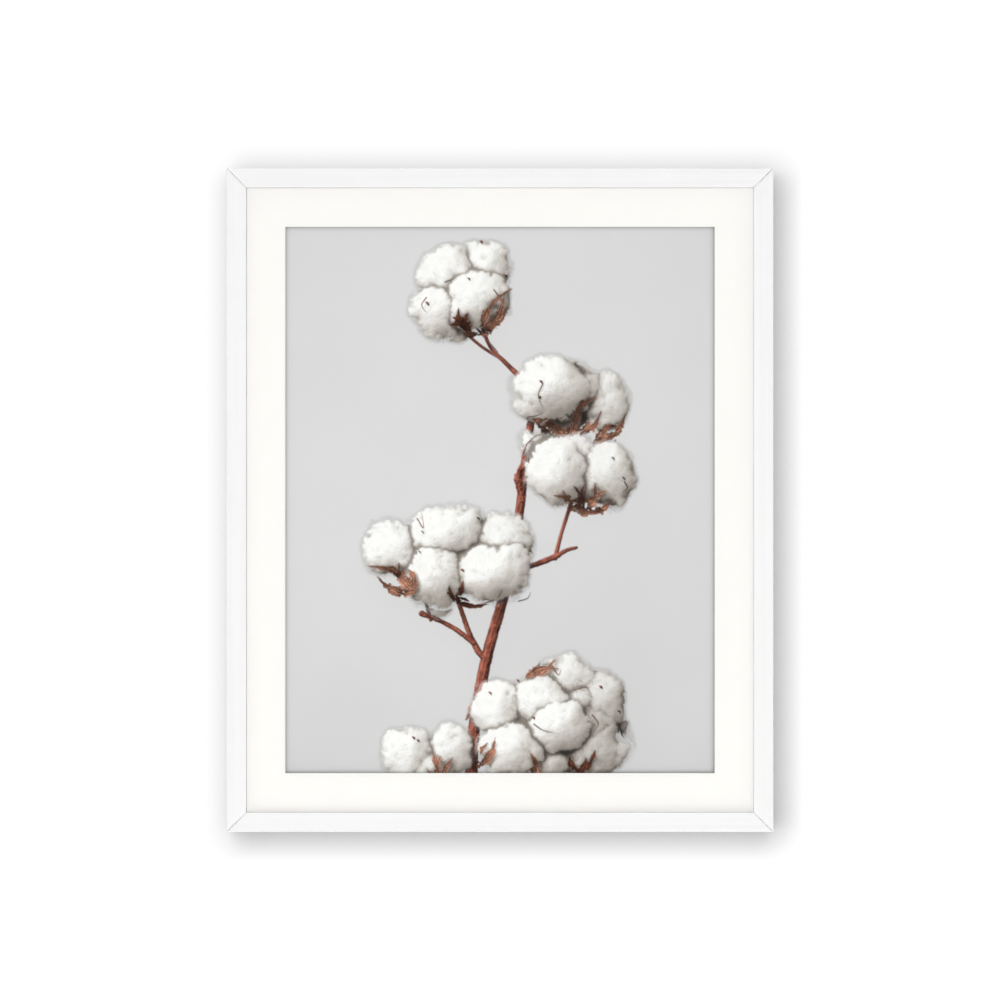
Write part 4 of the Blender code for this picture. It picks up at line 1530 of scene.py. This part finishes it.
@dataclass
class DustCover:
    """Kraft paper glued round the back and drawn tight, sagging a little between the rails."""

    rows: int = 150
    columns: int = 120
    sag: float = 0.55 * MM
    ripple: float = 0.10 * MM
    rail: float = 9.0 * MM
    slope: float = 40.0 * MM
    trim: float = 0.35 * MM
    hole: float = 0.95 * MM

    def build(self) -> None:
        """Make the paper, pierce it for the hanger's nails, and dress it."""
        low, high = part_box("dust_cover")
        across = np.linspace(low[0], high[0], self.columns)
        up = np.linspace(high[2], low[2], self.rows)
        x, z = np.meshgrid(across, up)
        edge = np.minimum(np.minimum(x - low[0], high[0] - x), np.minimum(z - low[2], high[2] - z))
        free = np.clip((edge - self.rail) / self.slope, 0.0, 1.0)
        free = free * free * (3.0 - 2.0 * free)
        wave = np.array([[self.wave(a, b) for a in across] for b in up])
        loose = np.clip((edge - self.rail) / self.rail, 0.0, 1.0)
        push = np.minimum(-self.sag * free + self.ripple * wave * loose, 0.0)
        mesh = sheet_mesh("kraft_cover", across, up, low[1] + push, high[1] + push)
        self.trim_edges(mesh, low, high)
        paper = KraftPaper().material()
        cover = show("kraft_cover", mesh, ["dust_cover"], [paper])
        pierce(cover, (low[1] + high[1]) / 2, self.hole, 2 * MM)
        settle(cover, 50.0)
        log.info("%s: glued and pierced", cover.name)

    def wave(self, across: float, up: float) -> float:
        """The paper's slow waves at a place, and the finer ones between them."""
        slow = noise.noise(Vector((across * 14, 3.1, up * 5)))
        return slow + 0.5 * noise.noise(Vector((across * 45, 7.7, up * 30)))

    def trim_edges(self, mesh: bpy.types.Mesh, low: Vector, high: Vector) -> None:
        """Let the knife wander: pull the rim in by a little here and there."""
        for vertex in mesh.vertices:
            spot = vertex.co
            for axis, other in ((0, 2), (2, 0)):
                place = Vector((spot[other] * 12, axis * 5.0, 1.3))
                wander = self.trim * (0.5 + 0.5 * noise.noise(place))
                if spot[axis] < low[axis] + 1e-6:
                    spot[axis] += wander
                elif spot[axis] > high[axis] - 1e-6:
                    spot[axis] -= wander


@dataclass
class HangingGear:
    """The sawtooth hanger, its two nails, and the bumpers at the lower corners."""

    thickness: float = 0.8 * MM
    bench_half: float = 12.5 * MM
    slope: float = 1.5 * MM
    ear_height: float = 5.0 * MM
    pitch: float = 2.6 * MM
    tooth: float = 1.1 * MM
    middle_notch: float = 1.6 * MM
    each_side: int = 4
    edge: float = 0.14 * MM
    hole: float = 1.1 * MM
    nail: float = 0.8 * MM
    nail_tip: float = 1.6 * MM
    dome: float = 0.8 * MM
    bumper_edge: float = 0.7 * MM
    bumper_rear: float = 0.86
    bumper_foot: tuple[Point, ...] = ((1.0, 0.25), (1.0, 0.08), (0.97, 0.0), (0.0, 0.0))

    def silhouette(self, low: Vector, high: Vector) -> list[Point]:
        """The hanger from behind: round ears, and notches along the bench's lower edge."""
        top, end, ear = high[2], high[0], self.ear_height / 2
        right = []
        for step in range(13):
            turn = math.radians(90 - 15 * step)
            right.append((end - ear + ear * math.cos(turn), top - ear + ear * math.sin(turn)))
        points = right + [(self.bench_half, top - self.ear_height), (self.bench_half, low[2])]
        for number in range(self.each_side, -self.each_side - 1, -1):
            deep = self.tooth if number else self.middle_notch
            points.append(((number + 0.5) * self.pitch, low[2]))
            points.append((number * self.pitch, low[2] + deep))
        points.append((-(self.each_side + 0.5) * self.pitch, low[2]))
        points += [(-self.bench_half, low[2]), (-self.bench_half, top - self.ear_height)]
        return points + [(-x, z) for x, z in reversed(right)]

    def hanger(self) -> None:
        """Make the hanger: its outline, folded where the bench stands off, then given thickness."""
        low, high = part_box("sawtooth_hanger")
        outline = dict.fromkeys((round(x, 8), round(z, 8)) for x, z in self.silhouette(low, high))
        fold = self.bench_half + self.slope
        body = bmesh.new()
        body.faces.new([body.verts.new((x, 0.0, z)) for x, z in outline])
        for place in (-fold, -self.bench_half, self.bench_half, fold):
            parts = [*body.verts, *body.edges, *body.faces]
            bmesh.ops.bisect_plane(body, geom=parts, plane_co=(place, 0, 0), plane_no=(1, 0, 0))
        made = bmesh.ops.extrude_face_region(body, geom=body.faces[:])["geom"]
        stand_off = high[1] - low[1] - self.thickness
        for vertex in body.verts:
            up_slope = (fold - abs(vertex.co.x)) / self.slope
            vertex.co.y = low[1] + stand_off * min(max(up_slope, 0.0), 1.0)
        for item in made:
            if isinstance(item, bmesh.types.BMVert):
                item.co.y += self.thickness
        steel = Metal(Plating.ZINC).material()
        mesh = as_mesh("toothed_hanger", body)
        hanger = show("toothed_hanger", mesh, ["sawtooth_hanger"], [steel])
        pierce(hanger, (low[1] + high[1]) / 2, self.hole, 3 * MM)
        bevel(hanger, self.edge, 60.0)
        settle(hanger, 35.0)
        log.info("%s: folded, toothed and drilled", hanger.name)

    def stud(
        self, name: str, node: str, base: float, profile: list[Point], steps: int,
    ) -> bpy.types.Mesh:
        """A turned piece that stands out to the rear.

        Args:
            name: of the piece.
            node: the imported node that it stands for.
            base: depth of its profile's zero.
            profile: radius and height of each ring, rear to front.
            steps: points to a ring.

        Returns:
            The mesh.
        """
        middle = middle_of(node)
        middle.y = base
        place = Matrix.Translation(middle) @ Matrix.Rotation(math.radians(-90), 4, "X")
        return turned_mesh(name, profile, steps, place)

    def nails(self) -> None:
        """Make the two nails with domed heads."""
        steel = Metal(Plating.BRIGHT).material()
        for side in SIDES:
            node = f"hanger_nail_{side}"
            low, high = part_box(node)
            radius = (high[0] - low[0]) / 2
            under = high[1] - self.dome
            length = under - low[1]
            turns = [math.radians(90) * step / 7 for step in range(8)]
            profile = [(radius * math.sin(turn), self.dome * math.cos(turn)) for turn in turns]
            profile += [(self.nail, 0.0), (self.nail, self.nail_tip - length), (0.0, -length)]
            name = f"domed_nail_{side}"
            mesh = self.stud(name, node, under, profile, 32)
            settle(show(name, mesh, [node], [steel]), 40.0)

    def bumpers(self) -> None:
        """Make the two bumpers: low domes with a flat rear face."""
        rubber = Rubber().material()
        for side in SIDES:
            node = f"wall_bumper_{side}"
            low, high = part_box(node)
            radius, thick = (high[0] - low[0]) / 2, high[1] - low[1]
            rear = self.bumper_rear * radius
            profile = [(0.0, thick)]
            for step in range(7):
                turn = math.radians(90) * step / 6
                profile.append((
                    rear - self.bumper_edge * (1 - math.sin(turn)),
                    thick - self.bumper_edge * (1 - math.cos(turn)),
                ))
            profile += [(share * radius, height * thick) for share, height in self.bumper_foot]
            name = f"rubber_bumper_{side}"
            mesh = self.stud(name, node, low[1], profile, 48)
            settle(show(name, mesh, [node], [rubber]), 35.0)

    def build(self) -> None:
        """Make and dress all of it."""
        self.hanger()
        self.nails()
        self.bumpers()
        log.info("hanging gear: hanger, nails and bumpers in place")


# ---------------------------------------------------------------------------------------------
# The room


@dataclass
class Studio:
    """A glowing white wall with a painted drop shadow, a pale floor, soft light from the front's
    upper left, and the camera.
    """

    field_of_view: float = 650.4 * MM
    lens: float = 200.0
    sensor: float = 36.0
    wall_half: float = 4.0
    floor_drop: float = 1.3
    gap: float = 0.3 * MM
    key_tilt: tuple[float, float] = (1.0, 1.0)
    key_spread: float = 8.0
    key_strength: float = 2.5
    rear_way: tuple[float, float, float] = (0.45, 1.0, 0.75)
    rear_strength: float = 1.9
    sky: float = 0.14
    seen_sky: float = 0.92

    def plane(self, name: str, place: Vector, turn: float) -> bpy.types.Object:
        """A large square of the room's surfaces.

        Args:
            name: of the surface.
            place: of its middle.
            turn: about X, in degrees; 0 faces up and 90 faces the camera.

        Returns:
            The surface.
        """
        body = bmesh.new()
        bmesh.ops.create_grid(body, x_segments=2, y_segments=2, size=self.wall_half)
        matrix = Matrix.Translation(place) @ Matrix.Rotation(math.radians(turn), 4, "X")
        bmesh.ops.transform(body, matrix=matrix, verts=body.verts)
        mesh = bpy.data.meshes.new(name)
        body.to_mesh(mesh)
        body.free()
        surface = bpy.data.objects.new(name, mesh)
        bpy.context.scene.collection.objects.link(surface)
        return surface

    def room(self) -> None:
        """Stand the wall behind the bumpers and lay the floor well below."""
        rear = CAD_BOX[1][1] + self.gap
        wall = self.plane("room_wall", Vector((0, rear, 0)), 90.0)
        # the wall glows and carries a painted drop shadow round the frame; it casts no shadow
        # itself
        wall.data.materials.append(OneSidedWall().material())
        wall.visible_shadow = False
        floor = self.plane("room_floor", Vector((0, 0, CAD_BOX[0][2] - self.floor_drop)), 0.0)
        floor.data.materials.append(Board("room_floor", (0.86, 0.86, 0.85), 0.01, 0.0).material())

    def sun(self, name: str, way: Vector, strength: float) -> bpy.types.Object:
        """A broad soft light from one side.

        Args:
            name: of the light.
            way: from the frame towards it.
            strength: of its light.

        Returns:
            The light.
        """
        light = bpy.data.lights.new(name, "SUN")
        light.energy = strength
        light.angle = math.radians(self.key_spread)
        lamp = bpy.data.objects.new(name, light)
        lamp.rotation_mode = "QUATERNION"
        lamp.rotation_quaternion = way.to_track_quat("Z", "Y")
        bpy.context.scene.collection.objects.link(lamp)
        return lamp

    def lights(self) -> None:
        """The key light, the light behind, and the pale surround."""
        side, rise = (math.tan(math.radians(angle)) for angle in self.key_tilt)
        self.sun("key_light", Vector((-side, -1.0, rise)), self.key_strength).visible_glossy = False
        self.sun("rear_light", Vector(self.rear_way), self.rear_strength)
        world = bpy.data.worlds.new("surround")
        bpy.context.scene.world = world
        world.use_nodes = True
        tree = world.node_tree
        back = tree.nodes["Background"]
        back.inputs["Color"].default_value = (1.0, 1.0, 1.0, 1.0)
        path = tree.nodes.new("ShaderNodeLightPath")
        share = tree.nodes.new("ShaderNodeMapRange")
        share.inputs["To Min"].default_value = self.sky
        share.inputs["To Max"].default_value = self.seen_sky
        tree.links.new(path.outputs["Is Camera Ray"], share.inputs["Value"])
        tree.links.new(share.outputs["Result"], back.inputs["Strength"])

    def camera(self) -> None:
        """Look straight at the middle of the frame's face through a long lens."""
        low, high = CAD_BOX
        camera = bpy.data.cameras.new("camera")
        camera.lens = self.lens
        camera.sensor_width = self.sensor
        camera.clip_start = 0.05
        camera.clip_end = 100.0
        eye = bpy.data.objects.new("camera", camera)
        away = self.field_of_view * self.lens / self.sensor
        eye.location = ((low[0] + high[0]) / 2, low[1] - away, (low[2] + high[2]) / 2)
        eye.rotation_euler = (math.radians(90), 0, 0)
        bpy.context.scene.collection.objects.link(eye)
        bpy.context.scene.camera = eye
        bpy.context.scene.view_settings.view_transform = "Standard"

    def build(self) -> None:
        """Set the room, the lights and the camera."""
        self.room()
        self.lights()
        self.camera()
        log.info("studio: wall, floor, lights and camera set")


def main() -> None:
    """Build the studio and the framed print, piece by piece."""
    logging.basicConfig(level=logging.INFO, format="%(name)s: %(message)s")
    Studio().build()
    for assembly in (Moulding(), Glazing(), ArtPrint(), Backing(), DustCover(), HangingGear()):
        assembly.build()


if __name__ == "__main__":
    main()
